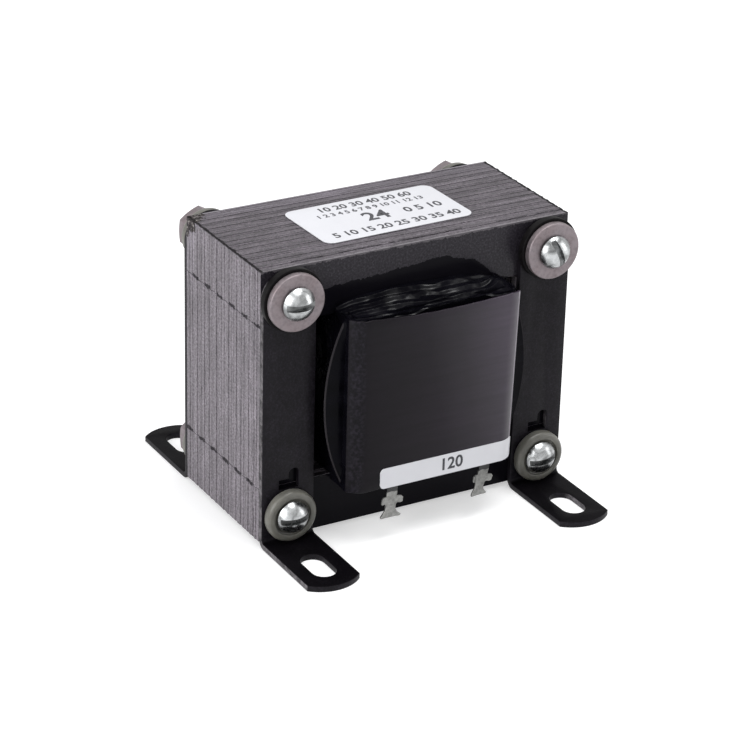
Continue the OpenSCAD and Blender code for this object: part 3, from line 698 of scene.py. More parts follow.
def plate_from(loops, thickness, edge):
    """A flat plate with rounded edges from closed outlines: the rim first, then its holes."""
    curve = bpy.data.curves.new("outline", "CURVE")
    curve.dimensions = "2D"
    curve.fill_mode = "BOTH"
    curve.extrude = thickness / 2 - edge
    curve.bevel_depth = edge
    curve.bevel_resolution = 2
    curve.offset = -edge
    for index, loop in enumerate(loops):
        area = sum(a[0] * b[1] - b[0] * a[1] for a, b in zip(loop, loop[1:] + loop[:1]))
        if (area > 0) != (index == 0):
            loop = loop[::-1]
        spline = curve.splines.new("POLY")
        spline.points.add(len(loop) - 1)
        for point, (x, y) in zip(spline.points, loop):
            point.co = (x, y, 0, 1)
        spline.use_cyclic_u = True
    carrier = bpy.data.objects.new("outline", curve)
    bpy.context.scene.collection.objects.link(carrier)
    graph = bpy.context.evaluated_depsgraph_get()
    mesh = bpy.data.meshes.new_from_object(carrier.evaluated_get(graph))
    bm = bmesh.new()
    bm.from_mesh(mesh)
    bpy.data.objects.remove(carrier)
    bpy.data.curves.remove(curve)
    bpy.data.meshes.remove(mesh)
    bmesh.ops.remove_doubles(bm, verts=bm.verts, dist=1e-7)
    return bm


def cut_across(bm, axis, values):
    """Adds edges to a mesh where it crosses the given values of one axis."""
    for value in values:
        point, normal = Vector((0, 0, 0)), Vector((0, 0, 0))
        point[axis] = value
        normal[axis] = 1.0
        bmesh.ops.bisect_plane(bm, geom=bm.verts[:] + bm.edges[:] + bm.faces[:],
                               plane_co=point, plane_no=normal)


def material_on(node, material):
    """Gives a solid that shows as it is its finish."""
    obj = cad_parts[node]
    obj.data.materials.clear()
    obj.data.materials.append(material)


# ---------------------------------------------------------------- Pieces

def strap_outlines(looks, half, outer, bend):
    """A strap laid flat: its rim, then its slot, its bolt holes and its stepped keyhole."""
    foot = -STRAP_LOW[1] - FACE - outer
    end = looks.foot_radius
    angle = math.degrees(math.asin(half / end))

    def rise(z):
        return z - outer + bend

    rim = arc_points(0, -foot + end, end, -90 - angle, -90 + angle, 24)
    rim += arc_points(0, rise(BOLT_HIGH_Z), half, 0, 180, 40)
    shank, shank_gap, sleeve_wall, sleeve_gap = 3.4 / 2, 0.06, 0.25, 0.12
    bore = (shank + shank_gap + sleeve_wall + sleeve_gap) * MM
    middle = -(looks.slot_reach - outer)
    run = (looks.slot_length - looks.slot_width) / 2
    slot = (arc_points(0, middle + run, looks.slot_width / 2, 0, 180, 20)
            + arc_points(0, middle - run, looks.slot_width / 2, 180, 360, 20))
    holes = [arc_points(0, rise(z), bore, 0, 345, 23) for z in (BOLT_LOW_Z, BOLT_HIGH_Z)]
    w, h, up = 2.1 * MM, 4.1 * MM, rise(BOLT_LOW_Z) + 7.1 * MM
    x = w * 0.1
    step = [(x - w, up - h / 2), (x + w, up - h / 2)]
    step += arc_points(x + w / 2, up + h / 2 - w / 2, w / 2, 0, 180, 12)
    step += [(x, up), (x - w, up)]
    return [rim, slot, *holes, step]


def strap_mesh(looks):
    """One folded strap on its own, at x = 0, with its foot towards -Y."""
    half = (STRAP_HIGH[0] - STRAP_LOW[0]) / 2
    thick = looks.strap_thickness
    outer = looks.bend_radius + thick
    bend = math.pi / 2 * (looks.bend_radius + thick / 2)
    bm = plate_from(strap_outlines(looks, half, outer, bend), thick, looks.strap_edge)
    cut_across(bm, 1, [bend * i / 10 for i in range(11)])
    for v in bm.verts:
        x, s, t = v.co.x, v.co.y, v.co.z + thick / 2
        if s <= 0:
            y, z = -outer + s, t
        elif s < bend:
            a = s / bend * math.pi / 2
            y, z = -outer + (outer - t) * math.sin(a), outer - (outer - t) * math.cos(a)
        else:
            y, z = -t, outer + s - bend
        v.co = (x, y - FACE, z)
    return bm


def build_straps(looks):
    """The four folded straps, each with a slotted foot."""
    metal = strap_finish(looks)
    for name, sx, rear in (("strap_front_left", -1, False), ("strap_front_right", 1, False),
                           ("strap_rear_left", -1, True), ("strap_rear_right", 1, True)):
        bm = strap_mesh(looks)
        turn = TURNED_ROUND if rear else Matrix.Identity(4)
        bmesh.ops.transform(bm, matrix=Matrix.Translation((sx * BOLT_X, 0, 0)) @ turn, verts=bm.verts)
        dressed(object_from(bm, name.replace("strap", "foot_strap")), metal, name, angle=30)


def bolt_places():
    """The four bolts as (x, z, turn of the driver slot, is it an upper bolt)."""
    return ((-BOLT_X, BOLT_LOW_Z, 3, False), (BOLT_X, BOLT_LOW_Z, 8, False),
            (-BOLT_X, BOLT_HIGH_Z, 2, True), (BOLT_X, BOLT_HIGH_Z, -68, True))


def seat_of(upper):
    """Distance of a bolt head's seat from the middle of the core."""
    return STACK_UPPER if upper else NYLON_SEAT


def build_bolts(looks):
    """Domed, slotted heads on plain shanks with chamfered ends."""
    r, h = looks.head_width / 2, looks.head_height
    low, rim = 0.22 * MM, 0.3 * MM
    crown = h - low - rim
    dome = (r * r + crown ** 2) / (2 * crown)
    centre = h - dome
    profile = []
    top_angle = math.degrees(math.acos((low + rim - centre) / dome))
    for i in range(19):
        a = math.radians(top_angle * i / 18)
        profile.append((dome * math.sin(a), centre + dome * math.cos(a)))
    profile += arc_points(r - rim, low + rim, rim, 0, -90, 5)[1:]
    shank = 1.7 * MM
    length_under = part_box("clamp_bolts")[1][1] + NYLON_SEAT
    profile += [(shank + 0.3 * MM, low), (shank + 0.25 * MM, 0.0), (shank, -0.1 * MM),
                (shank, -length_under + 0.45 * MM), (shank - 0.4 * MM, -length_under), (0.0, -length_under)]
    cut_height = 4 * MM
    parts = []
    for x, z, turn, upper in bolt_places():
        bm = bmesh.new()
        turn_profile(bm, profile, Matrix.Identity(4), 72, closed=False)
        bolt = object_from(bm, "bolt")
        cutter_bm = bmesh.new()
        bmesh.ops.create_cube(cutter_bm, size=1.0)
        size = Matrix.Diagonal((r * 4, looks.driver_slot, cut_height, 1))
        place = Matrix.Rotation(math.radians(turn), 4, "Z")
        place = place @ Matrix.Translation((0, 0, h - looks.driver_depth + cut_height / 2))
        bmesh.ops.transform(cutter_bm, matrix=place @ size, verts=cutter_bm.verts)
        cutter = object_from(cutter_bm, "cutter")
        cut = bolt.modifiers.new("slot", "BOOLEAN")
        cut.operation, cut.object, cut.solver = "DIFFERENCE", cutter, "EXACT"
        baked(bolt)
        bpy.data.objects.remove(cutter)
        bevelled(bolt, 0.07 * MM, 2, 50)
        bolt.data.transform(facing(x, -seat_of(upper), z))
        parts.append(bolt)
    return joined(parts, "clamp_screws")


def joined(parts, name):
    """One object out of several."""
    bm = bmesh.new()
    for part in parts:
        bm.from_mesh(part.data)
        bpy.data.objects.remove(part)
    mesh = bpy.data.meshes.new(name)
    bm.to_mesh(mesh)
    bm.free()
    obj = bpy.data.objects.new(name, mesh)
    bpy.context.scene.collection.objects.link(obj)
    return obj


def build_washers(looks):
    """Steel washers on fibre ones under the upper heads, and recessed nylon ones at every other place."""
    kinds = (
        ("plain_steel_washers", "steel_washers", looks.steel_washer / 2,
         STACK_UPPER - WASHER_THICKNESS, STACK_UPPER, 0.32 * MM, washer_finish(looks)),
        ("black_fibre_washers", "fibre_washers", looks.fibre_washer / 2,
         STRAP_FACE, STRAP_FACE + WASHER_THICKNESS, 0.15 * MM, fibre_finish()))
    for name, node, r, low, high, edge, material in kinds:
        bm = bmesh.new()
        for sx in (-1, 1):
            turn_profile(bm, ring_profile(SHANK_BORE, r, 0.0, high - low, 0.12 * MM, edge, 6),
                         facing(sx * BOLT_X, -low, BOLT_HIGH_Z), 96)
        dressed(object_from(bm, name), material, node, angle=50)
    r, rim, lip = looks.nylon_washer / 2, 0.8 * MM, 0.15 * MM
    thick, sunk = STACK_LOWER - STRAP_FACE, STACK_LOWER - NYLON_SEAT
    well = looks.nylon_recess / 2
    profile = (arc_points(r - rim, rim, rim, -90, 0, 8) + arc_points(r - rim, thick - rim, rim, 0, 90, 8)
               + [(well + lip, thick), (well + lip * 0.3, thick - lip * 0.3), (well, thick - lip),
                  (well, thick - sunk + lip * 0.4), (well - lip * 0.4, thick - sunk),
                  (SHANK_BORE, thick - sunk), (SHANK_BORE, 0.0)])
    bm = bmesh.new()
    for sx in (-1, 1):
        turn_profile(bm, profile, facing(sx * BOLT_X, -STRAP_FACE, BOLT_LOW_Z), 96)
        for z in (BOLT_LOW_Z, BOLT_HIGH_Z):
            turn_profile(bm, profile, facing(sx * BOLT_X, STRAP_FACE, z, True), 96)
    dressed(object_from(bm, "cloudy_nylon_washers"), nylon_finish(looks), "nylon_washers", angle=50)


def hexagon_nut(height, width):
    """One hexagon nut on local Z, chamfered at both ends."""
    flat, corner = width / 2, width / 2 / math.cos(math.radians(30))
    hexagon = bmesh.new()
    bmesh.ops.create_cone(hexagon, cap_ends=True, segments=6, radius1=corner, radius2=corner, depth=height)
    bmesh.ops.transform(hexagon, matrix=Matrix.Translation((0, 0, height / 2)), verts=hexagon.verts)
    nut = object_from(hexagon, "nut")
    disc = bmesh.new()
    flat, drop, chamfer = flat - 0.1 * MM, 0.45 * MM, 0.25 * MM
    corner += 0.02 * MM
    turn_profile(disc, [(SHANK_BORE, chamfer), (SHANK_BORE + chamfer, 0.0), (flat, 0.0), (corner, drop),
                        (corner, height - drop), (flat, height), (SHANK_BORE + chamfer, height),
                        (SHANK_BORE, height - chamfer)], Matrix.Identity(4), 96)
    tool = object_from(disc, "tool")
    both = nut.modifiers.new("chamfer", "BOOLEAN")
    both.operation, both.object, both.solver = "INTERSECT", tool, "EXACT"
    baked(nut)
    bpy.data.objects.remove(tool)
    return bevelled(nut, 0.08 * MM, 2, 25)


def build_nuts(looks):
    """Chamfered hexagon nuts and split lock washers behind."""
    bright = washer_finish(looks, "nut_plating")
    lock, wall, split = 0.9 * MM, 1.2 * MM, 18
    nuts = []
    for x, z, _, _ in bolt_places():
        nut = hexagon_nut(2.8 * MM, 7.94 * MM)
        nut.data.transform(facing(x, NYLON_SEAT + lock, z, True))
        nuts.append(nut)
    dressed(joined(nuts, "hexagon_nuts"), bright, "nuts", angle=30)
    bm = bmesh.new()
    section = ring_profile(SHANK_BORE, SHANK_BORE + wall, 0.05 * MM, lock - 0.05 * MM, 0.1 * MM, 0.12 * MM)
    for x, z, _, _ in bolt_places():
        turn_profile(bm, section, facing(x, NYLON_SEAT, z, True), 64, start=96, sweep=360 - split,
                     climb=0.08 * MM)
    dressed(object_from(bm, "split_lock_washers"), bright, "lock_washers", angle=40)


def rounded_path(half_x, front_y, radius, back_y, steps=10, straight=12):
    """A path round the coil's front: up one side, round both corners, back along the other side."""
    def side(x):
        return [(x, back_y + (front_y + radius - back_y) * i / straight) for i in range(straight)]
    corner = arc_points(-half_x + radius, front_y + radius, radius, 180, 270, steps)
    middle = [(-half_x + radius + (2 * half_x - 2 * radius) * i / 40, front_y) for i in range(1, 40)]
    other = arc_points(half_x - radius, front_y + radius, radius, 270, 360, steps)
    return side(-half_x) + corner + middle + other + side(half_x)[::-1]


def leaned(bm, looks, share=1.0):
    """Leans the coil's front in towards the bottom at its right side, and its rear likewise."""
    for v in bm.verts:
        x, y, z = v.co
        way = 1 if y < 0 else -1
        down = min(1.0, max(0.0, (PAD_HIGH[2] - z) / (PAD_HIGH[2] - PAD_LOW[2])))
        out = min(1.0, max(0.0, (way * x - 4 * MM) / (14 * MM)))
        free = min(1.0, max(0.0, (abs(y) - FACE - 0.3 * MM) / (3 * MM)))
        v.co.x = x - way * looks.lean * share * down * free * out * out * (3 - 2 * out)


def panels(bm, grid, inward=False):
    """Faces between the neighbouring columns of a grid of vertices."""
    for left, right in zip(grid, grid[1:]):
        for k in range(len(left) - 1):
            ring = [left[k], right[k], right[k + 1], left[k + 1]]
            bm.faces.new(ring[::-1] if inward else ring)


def level_at(stops, x):
    """Reads a value off straight lines between (x, value) stops."""
    for (a, low), (b, high) in zip(stops, stops[1:]):
        if x <= b:
            return low + (high - low) * max(0.0, x - a) / (b - a)
    return stops[-1][1]


def closed_sheet(bm, outer, inner):
    """Faces of a sheet between two grids of vertices, with all four edges closed."""
    panels(bm, outer)
    panels(bm, inner, True)
    for k in (0, -1):
        panels(bm, [[column[k] for column in grid] for grid in (outer, inner)])
    for i in (0, -1):
        panels(bm, [outer[i], inner[i]])


def sheet_on_path(bm, path, low, high, thickness, rows=14, lean=0.0):
    """A closed sheet that stands on a path. low and high give its edges' heights along it."""
    n = len(path)
    grids = []
    for side in (0, 1):
        grid = []
        for i, (x, y) in enumerate(path):
            ax, ay = path[max(i - 1, 0)]
            bx, by = path[min(i + 1, n - 1)]
            tx, ty = bx - ax, by - ay
            size = math.hypot(tx, ty) or 1.0
            nx, ny = -ty / size, tx / size
            column = []
            for k in range(rows + 1):
                f = k / rows
                z = low(i / (n - 1)) * (1 - f) + high(i / (n - 1)) * f
                push = side * thickness + lean * f ** 3
                column.append(bm.verts.new((x + nx * push, y + ny * push, z)))
            grid.append(column)
        grids.append(grid)
    closed_sheet(bm, *grids)


def build_pads(looks):
    """Stiff sheets bent round the coil's front and back, with a top edge that dips in the middle."""
    board = pad_finish(looks)
    half_x = looks.coil_width / 2
    bend = looks.pad_bend
    turn_x, turn_y = half_x - looks.pad_radius, PAD_LOW[1] + looks.pad_radius
    path = arc_points(-turn_x, turn_y, looks.pad_radius, 270 - bend, 270, 12)
    path += [(-turn_x + 2 * turn_x * i / 40, PAD_LOW[1]) for i in range(1, 40)]
    path += arc_points(turn_x, turn_y, looks.pad_radius, 270, 270 + bend, 12)
    dips = ((0.0, 0.75), (0.2, 0.6), (0.38, -0.1), (0.52, -0.25), (0.68, -0.1), (0.84, 0.25), (0.93, 0.0),
            (1.0, -0.4))

    def top(f):
        return PAD_HIGH[2] + (level_at(dips, f) + 0.1 * noise.noise(Vector((f * 22, 2.0, 5.0)))) * MM

    def bottom(f):
        return PAD_LOW[2] + 0.1 * MM * (1 + noise.noise(Vector((f * 9, 7.0, 1.0))))

    for name, node, rear in (("front_coil_pad", "front_pad", False), ("rear_coil_pad", "rear_pad", True)):
        bm = bmesh.new()
        sheet_on_path(bm, path, bottom, top, looks.pad_thickness, 20)
        if rear:
            bmesh.ops.transform(bm, matrix=TURNED_ROUND, verts=bm.verts)
        leaned(bm, looks)
        obj = bevelled(object_from(bm, name), 0.12 * MM, 2, 60)
        dressed(obj, board, node, angle=45)


def torn_edge(seed, base, swing, ragged):
    """A paper edge's height along the path: a slow swing with small tears."""
    def height(f):
        slow = noise.noise(Vector((f * 4.0, seed * 3.7, 0.3)))
        fast = noise.noise(Vector((f * 38.0, seed * 1.9, 4.1)))
        tear = max(0.0, noise.noise(Vector((f * 16.0, seed * 5.3, 9.2))) - 0.25)
        return base + swing * slow + ragged * fast - ragged * 3.0 * tear
    return height


def coil_end(bm, half_x, front, back, radius, base, rise, seed, cols, rows):
    """Soaked tape layers at one end of the coil: soft uneven folds that climb towards the core."""
    def place(u, v):
        x = half_x * u
        corner = max(0.0, abs(x) - half_x + radius)
        edge = front - radius + math.sqrt(max(radius ** 2 - corner ** 2, 0.0))
        waves = (0.75 * noise.noise(Vector((x * 75, v * 1.6, seed)))
                 + 0.3 * noise.noise(Vector((x * 300, v * 3.5, seed + 1))))
        turn = v * 4 + waves * min(1.0, 4 * v)
        whole = math.floor(turn)
        part = turn - whole
        drop = min(1.0, max(0.0, (part - 0.55) / 0.45))
        step = min(4.0, max(0.0, whole + drop * drop * (3 - 2 * drop)))
        dome = max(0.12, 1.0 - abs((x + 1 * MM) / (19 * MM)) ** 3.5)
        lip = 0.22 * math.exp(-((part - 0.62) / 0.12) ** 2)
        lip *= 0.6 + noise.noise(Vector((x * 180, whole, seed)))
        wave = (0.34 * noise.noise(Vector((x * 120, v * 2.4, seed + 2)))
                + 0.13 * noise.noise(Vector((x * 420, v * 10, seed + 3))))
        fold = 1.5 * math.exp(-((x / MM - 15.0) / 2.0) ** 2 - ((v - 0.6) / 0.22) ** 2)
        bulge = fold * rise / abs(rise) * min(1, abs(rise) / MM)
        z = base + rise * (1 - step / 4) * dome + (lip + wave + bulge) * MM
        return x, -(back + (edge - back) * v), z

    grid = [[bm.verts.new(place(i / cols * 2 - 1, k / rows)) for k in range(rows + 1)]
            for i in range(cols + 1)]
    panels(bm, grid)


def merged(bm, part):
    """Moves one mesh under construction into another."""
    mesh = bpy.data.meshes.new("part")
    part.to_mesh(mesh)
    part.free()
    bm.from_mesh(mesh)
    bpy.data.meshes.remove(mesh)


def build_wrap(looks):
    """The outer wrap: smooth sides, two ears a side, and soaked torn layers above and below."""
    seed = looks.paper_seed
    front = -PAD_LOW[1] - WRAP_INSIDE
    half_x = looks.coil_width / 2 - WRAP_INSIDE
    radius = 2.6 * MM
    bm = bmesh.new()
    for rear in (False, True):
        part = bmesh.new()
        own = seed + (20 if rear else 0)
        layers = ((0.0, 0.3, 0.3, 0.2), (1.1, 0.75, 0.45, 0.3))
        for number, (inset, above, swing, ragged) in enumerate(layers):
            path = rounded_path(half_x - inset * MM, -front + inset * MM, radius - inset * 0.5 * MM,
                                -FACE - 0.22 * MM)
            top = torn_edge(own + number, PAD_HIGH[2] + above * MM, swing * MM, ragged * MM)
            low = torn_edge(own + number + 50, PAD_LOW[2] - 0.1 * MM, 0.2 * MM, 0.12 * MM)
            sheet_on_path(part, path, low, top, 0.35 * MM, 24, 0.4 * MM)
        for base, rise, shift, cols, rows in ((PAD_HIGH[2] - 0.25 * MM, 2.5 * MM, 0.5, 150, 72),
                                              (PAD_LOW[2] + 0.55 * MM, -0.25 * MM, 8.5, 90, 40)):
            coil_end(part, half_x - 0.1 * MM, front - 0.15 * MM, FACE + 0.15 * MM, radius, base, rise,
                     own + shift, cols, rows)
        if rear:
            bmesh.ops.transform(part, matrix=TURNED_ROUND, verts=part.verts)
        merged(bm, part)
    low, high = PAD_LOW[2] + 1.1 * MM, PAD_HIGH[2] - 1.1 * MM
    for sx in (-1, 1):
        side = bmesh.new()
        bmesh.ops.create_cube(side, size=1.0)
        place = Matrix.Translation((sx * (half_x - 0.4 * MM), 0, (low + high) / 2))
        size = Matrix.Diagonal((0.8 * MM, 2 * FACE + 0.6 * MM, high - low, 1))
        bmesh.ops.transform(side, matrix=place @ size, verts=side.verts)
        merged(bm, side)
        for sy in (-1, 1):
            ear_on(bm, looks, sx, sy, half_x)
    leaned(bm, looks, WRAP_LEAN_SHARE)
    dressed(object_from(bm, "varnished_wrap"), wrap_finish(looks), "outer_wrap", angle=50)


def ear_on(bm, looks, sx, sy, half_x):
    """A curved ear at one side of the wrap, thin at its edge and dished a little."""
    ear_r, reach = looks.ear_radius, WRAP_REACH
    y_mid = abs(PAD_LOW[1]) - looks.pad_radius - 0.25 * MM
    chord = half_x - 0.4 * MM
    half_h = math.sqrt(max(ear_r ** 2 - (ear_r - (reach - chord)) ** 2, 0))
    rows, cols = 48, 8
    sheets = []
    for lift in (0.22 * MM, -0.22 * MM):
        grid = []
        for i in range(rows + 1):
            dz = half_h * (2 * i / rows - 1)
            edge = reach - ear_r + math.sqrt(max(ear_r ** 2 - dz ** 2, 0))
            edge = max(edge, chord + 0.02 * MM)
            column = []
            for k in range(cols + 1):
                f = k / cols
                x = chord + (edge - chord) * f
                bow = 0.35 * MM * math.sin(math.pi * f * 0.5)
                thin = lift * (1.0 - 0.45 * f)
                column.append(bm.verts.new((sx * x, sy * (y_mid + thin - bow), CORE_MID_Z + dz)))
            grid.append(column)
        sheets.append(grid)
    panels(bm, sheets[0])
    panels(bm, sheets[1], True)
    panels(bm, [[column[cols] for column in grid] for grid in sheets])


def lug_outline():
    """The flat shape of a solder lug in millimetres, about its own middle, with its foot at 0."""
    neck, wide, top = 1.15, 2.35, 13.4
    wing_low, wing_high = 2.95, 4.45
    right = [(neck, top), (neck, wing_high), (wide - 0.3, wing_high), (wide, wing_high - 0.3),
             (wide, wing_low + 0.3), (wide - 0.3, wing_low), (neck + 0.25, wing_low), (neck, wing_low - 0.3),
             (neck, 1.7), (neck + 0.35, 1.15), (wide - 0.5, 0.8), (wide, 0.45), (wide - 0.1, 0.1),
             (wide - 0.45, 0.0)]
    return right + [(-x, z) for x, z in reversed(right)]


def bent_lug(looks, twist, roll):
    """One lug with curled wings and a curled foot, twisted about its length and tilted sideways."""
    outline = [(x * MM, z * MM) for x, z in lug_outline()]
    bm = plate_from([outline], looks.lug_thickness, 0.08 * MM)
    cut_across(bm, 1, [v * MM for v in (0.3, 0.6, 0.9, 1.2, 2.3, 3.2, 3.7, 4.2, 4.8, 5.4, 6.0, 6.6)])
    cut_across(bm, 0, [v * MM for v in (-2.1, -1.8, -1.5, -1.2, 1.2, 1.5, 1.8, 2.1)])
    hang = 6.4 * MM
    for v in bm.verts:
        x, z, t = v.co.x, v.co.y, v.co.z
        out = 0.0
        if z > 2.6 * MM and abs(x) > 1.15 * MM and z < 4.8 * MM:
            out = ((abs(x) - 1.15 * MM) / (1.2 * MM)) ** 2 * 0.45 * MM
        if z < 1.3 * MM and abs(x) > 1.2 * MM:
            out = ((abs(x) - 1.2 * MM) / (1.15 * MM)) ** 2 * 0.3 * MM
        a = math.radians(twist) * min(1.0, max(0.0, (6.2 * MM - z) / (6.2 * MM)))
        px, py = x * math.cos(a) - (t + out) * math.sin(a), x * math.sin(a) + (t + out) * math.cos(a)
        tilt = math.radians(roll) * min(1.0, max(0.0, (hang - z) / (2.5 * MM)))
        v.co = (px * math.cos(tilt) + (z - hang) * math.sin(tilt), py,
                hang - px * math.sin(tilt) + (z - hang) * math.cos(tilt))
    return bm


def build_lugs(looks):
    """Solder lugs that hang below the coil, two in front and three behind, each bent its own way."""
    tin = tin_finish(looks)
    rows = (("front_solder_lugs", "primary_lugs", ((-9.1, -5, 4), (11.4, -22, 12)), False),
            ("rear_solder_lugs", "secondary_lugs", ((-10.0, 4, -2), (0.0, -6, 3), (10.0, 3, 1)), True))
    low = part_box("primary_lugs")[0][2] - 0.4 * MM
    middle_y = abs(PAD_LOW[1]) - WRAP_INSIDE + looks.lug_thickness / 2 + 0.02 * MM
    for name, node, lugs, rear in rows:
        parts = bmesh.new()
        for place, twist, roll in lugs:
            bm = bent_lug(looks, twist, roll)
            shift = Matrix.Translation((place * MM, -middle_y, low)) @ Matrix.Diagonal((1, -1, 1, 1))
            bmesh.ops.transform(bm, matrix=TURNED_ROUND @ shift if rear else shift, verts=bm.verts)
            merged(parts, bm)
        dressed(object_from(parts, name), tin, node, angle=40)
    material_on("primary_leads", tin)
    material_on("secondary_leads", tin)


def strip_mesh(looks):
    """A thin strip on the front pad, bent round its right corner, with rounded ends."""
    strip = bmesh.new()
    outer, flat, radius = STRIP_THICKNESS, STRIP_LOW[0], looks.pad_radius
    corner_x, corner_y = looks.coil_width / 2 - radius, PAD_LOW[1] + radius
    run = corner_x - flat
    total = run + math.radians(looks.pad_bend - 5) * (radius + outer)
    base, height = STRIP_LOW[2], STRIP_HIGH[2] - STRIP_LOW[2]
    cols, rows, edge = 120, 16, 0.9 * MM

    def spot(s, out):
        if s < run:
            return flat + s, PAD_LOW[1] - out
        a = (s - run) / (radius + outer)
        return corner_x + (radius + out) * math.sin(a), corner_y - (radius + out) * math.cos(a)

    def inset_at(s):
        near = min(s, total - s)
        if near >= edge:
            return 0.0
        return edge - math.sqrt(max(edge ** 2 - (edge - near) ** 2, 0.0))

    grids = []
    for out in (outer, 0.01 * MM):
        grid = []
        for i in range(cols + 1):
            s = total * i / cols
            if i in (0, cols):
                s = min(max(s, 0.02 * MM), total - 0.02 * MM)
            x, y = spot(s, out)
            inset = inset_at(s)
            grid.append([strip.verts.new((x, y, base + inset + (height - 2 * inset) * k / rows))
                         for k in range(rows + 1)])
        grids.append(grid)
    closed_sheet(strip, *grids)
    leaned(strip, looks)
    return strip


def inked(bm, name, ink):
    """A finished piece of print on a label."""
    figures = object_from(bm, name)
    dressed(figures, ink)


def build_labels(looks):
    """A rounded label on the core and a strip on the coil, with plain numbers on them."""
    paper, ink = label_finish(looks), ink_finish(looks)
    low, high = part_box("top_label")
    half_x, half_y, r = 16.4 * MM, 8.75 * MM, 2.0 * MM
    rim = []
    for cx, cy, start in ((1, 1, 0), (-1, 1, 90), (-1, -1, 180), (1, -1, 270)):
        rim += arc_points(cx * (half_x - r), cy * (half_y - r), r, start, start + 90, 8)
    bm = plate_from([rim], 0.15 * MM, 0.03 * MM)
    turn = Matrix.Rotation(math.radians(1.5), 4, "Z")
    bmesh.ops.transform(bm, matrix=Matrix.Translation((0, 0, (low[2] + high[2]) / 2)) @ turn, verts=bm.verts)
    dressed(object_from(bm, "core_label"), paper, "top_label", angle=50)
    dressed(object_from(strip_mesh(looks), "coil_strip"), paper, "coil_label", angle=50)

    number = bmesh.new()
    middle = (STRIP_LOW[2] + STRIP_HIGH[2]) / 2
    place = Matrix.Translation((3.4 * MM, PAD_LOW[1] - STRIP_THICKNESS - INK_LIFT, middle))
    place = place @ Matrix.Rotation(math.radians(90), 4, "X")
    printed(number, looks.strip_text, looks.strip_text_height, place)
    inked(number, "strip_number", ink)

    figures = bmesh.new()
    lines = (("10 20 30 40 50 60", 0.52, 0.5, 6.2), ("1 2 3 4 5 6 7 8 9 10 11 12 13", 0.37, 0.2, 3.4),
             ("24", 1.0, -0.9, -0.7), ("0 5 10", 0.6, 9.4, -0.9), ("5 10 15 20 25 30 35 40", 0.55, 0.6, -6.0))
    face = Matrix.Translation((0, 0, high[2] + INK_LIFT)) @ turn
    for text, share, x, y in lines:
        printed(figures, text, looks.print_height * share, face @ Matrix.Translation((x * MM, y * MM, 0)))
    inked(figures, "label_figures", ink)


def printed(bm, words, height, place):
    """Adds a line of raised print, with its middle at the given place."""
    text = bpy.data.curves.new("print", "FONT")
    text.body = words
    text.size = height / 0.72
    text.align_x, text.align_y = "CENTER", "CENTER"
    text.resolution_u = 4
    text.extrude = INK_LIFT
    text.offset = 0.03 * height
    carrier = bpy.data.objects.new("print", text)
    bpy.context.scene.collection.objects.link(carrier)
    graph = bpy.context.evaluated_depsgraph_get()
    mesh = bpy.data.meshes.new_from_object(carrier.evaluated_get(graph))
    bpy.data.objects.remove(carrier)
    bpy.data.curves.remove(text)
    mesh.transform(place)
    bm.from_mesh(mesh)
    bpy.data.meshes.remove(mesh)


# ---------------------------------------------------------------- Stage

def lay_floor():
    """A matt floor that shows as plain white to the camera and in reflections."""
    bm = bmesh.new()
    bmesh.ops.create_grid(bm, x_segments=1, y_segments=1, size=4.0)
    floor = object_from(bm, "floor")
    cover = Finish("floor_paint", (0.66, 0.66, 0.66), 0.6)
    seen = cover.add("ShaderNodeLightPath")
    shown = cover.math("MAXIMUM", seen.outputs["Is Camera Ray"], seen.outputs["Is Glossy Ray"])
    shown = cover.math("MAXIMUM", shown, seen.outputs["Is Transmission Ray"])
    cover.shader.inputs["Emission Color"].default_value = (1, 1, 1, 1)
    cover.join(cover.math("MULTIPLY", shown, 0.47), cover.shader.inputs["Emission Strength"])
    floor.data.materials.append(cover.material)


def light_world(scene):
    """A soft, slightly cool fill all round, seen by the camera and in reflections as white."""
    world = scene.world or bpy.data.worlds.new("studio")
    scene.world = world
    world.use_nodes = True
    tree = world.node_tree
    tree.nodes.clear()

    def background(colour, strength):
        node = tree.nodes.new("ShaderNodeBackground")
        node.inputs["Color"].default_value = colour
        node.inputs["Strength"].default_value = strength
        return node.outputs[0]

    def larger(first, second):
        node = tree.nodes.new("ShaderNodeMath")
        node.operation = "MAXIMUM"
        tree.links.new(first, node.inputs[0])
        tree.links.new(second, node.inputs[1])
        return node.outputs[0]

    rays = tree.nodes.new("ShaderNodeLightPath").outputs
    seen = larger(larger(rays["Is Camera Ray"], rays["Is Transmission Ray"]), rays["Is Glossy Ray"])
    choose = tree.nodes.new("ShaderNodeMixShader")
    end = tree.nodes.new("ShaderNodeOutputWorld")
    tree.links.new(seen, choose.inputs[0])
    tree.links.new(background((0.95, 0.97, 1.0, 1), 0.42), choose.inputs[1])
    tree.links.new(background((1, 1, 1, 1), 1.0), choose.inputs[2])
    tree.links.new(choose.outputs[0], end.inputs["Surface"])


def hang_lamps(scene):
    """Soft lamps at the left, above and at the right, aimed at the middle of the core."""
    aim = Vector((0, 0, 0.03))
    for name, place, size, power in (("left_softbox", (-0.6, -0.2, 0.3), (0.4, 0.5), 3.5),
                                     ("top_softbox", (0.1, -0.1, 0.75), (0.45, 0.35), 3.9),
                                     ("right_softbox", (0.6, -0.35, 0.25), (0.3, 0.5), 1.2)):
        lamp = bpy.data.lights.new(name, "AREA")
        lamp.shape = "RECTANGLE"
        lamp.size, lamp.size_y = size
        lamp.energy = power
        holder = bpy.data.objects.new(name, lamp)
        scene.collection.objects.link(holder)
        turn = (aim - Vector(place)).to_track_quat("-Z", "Y").to_matrix().to_4x4()
        holder.matrix_world = Matrix.Translation(place) @ turn


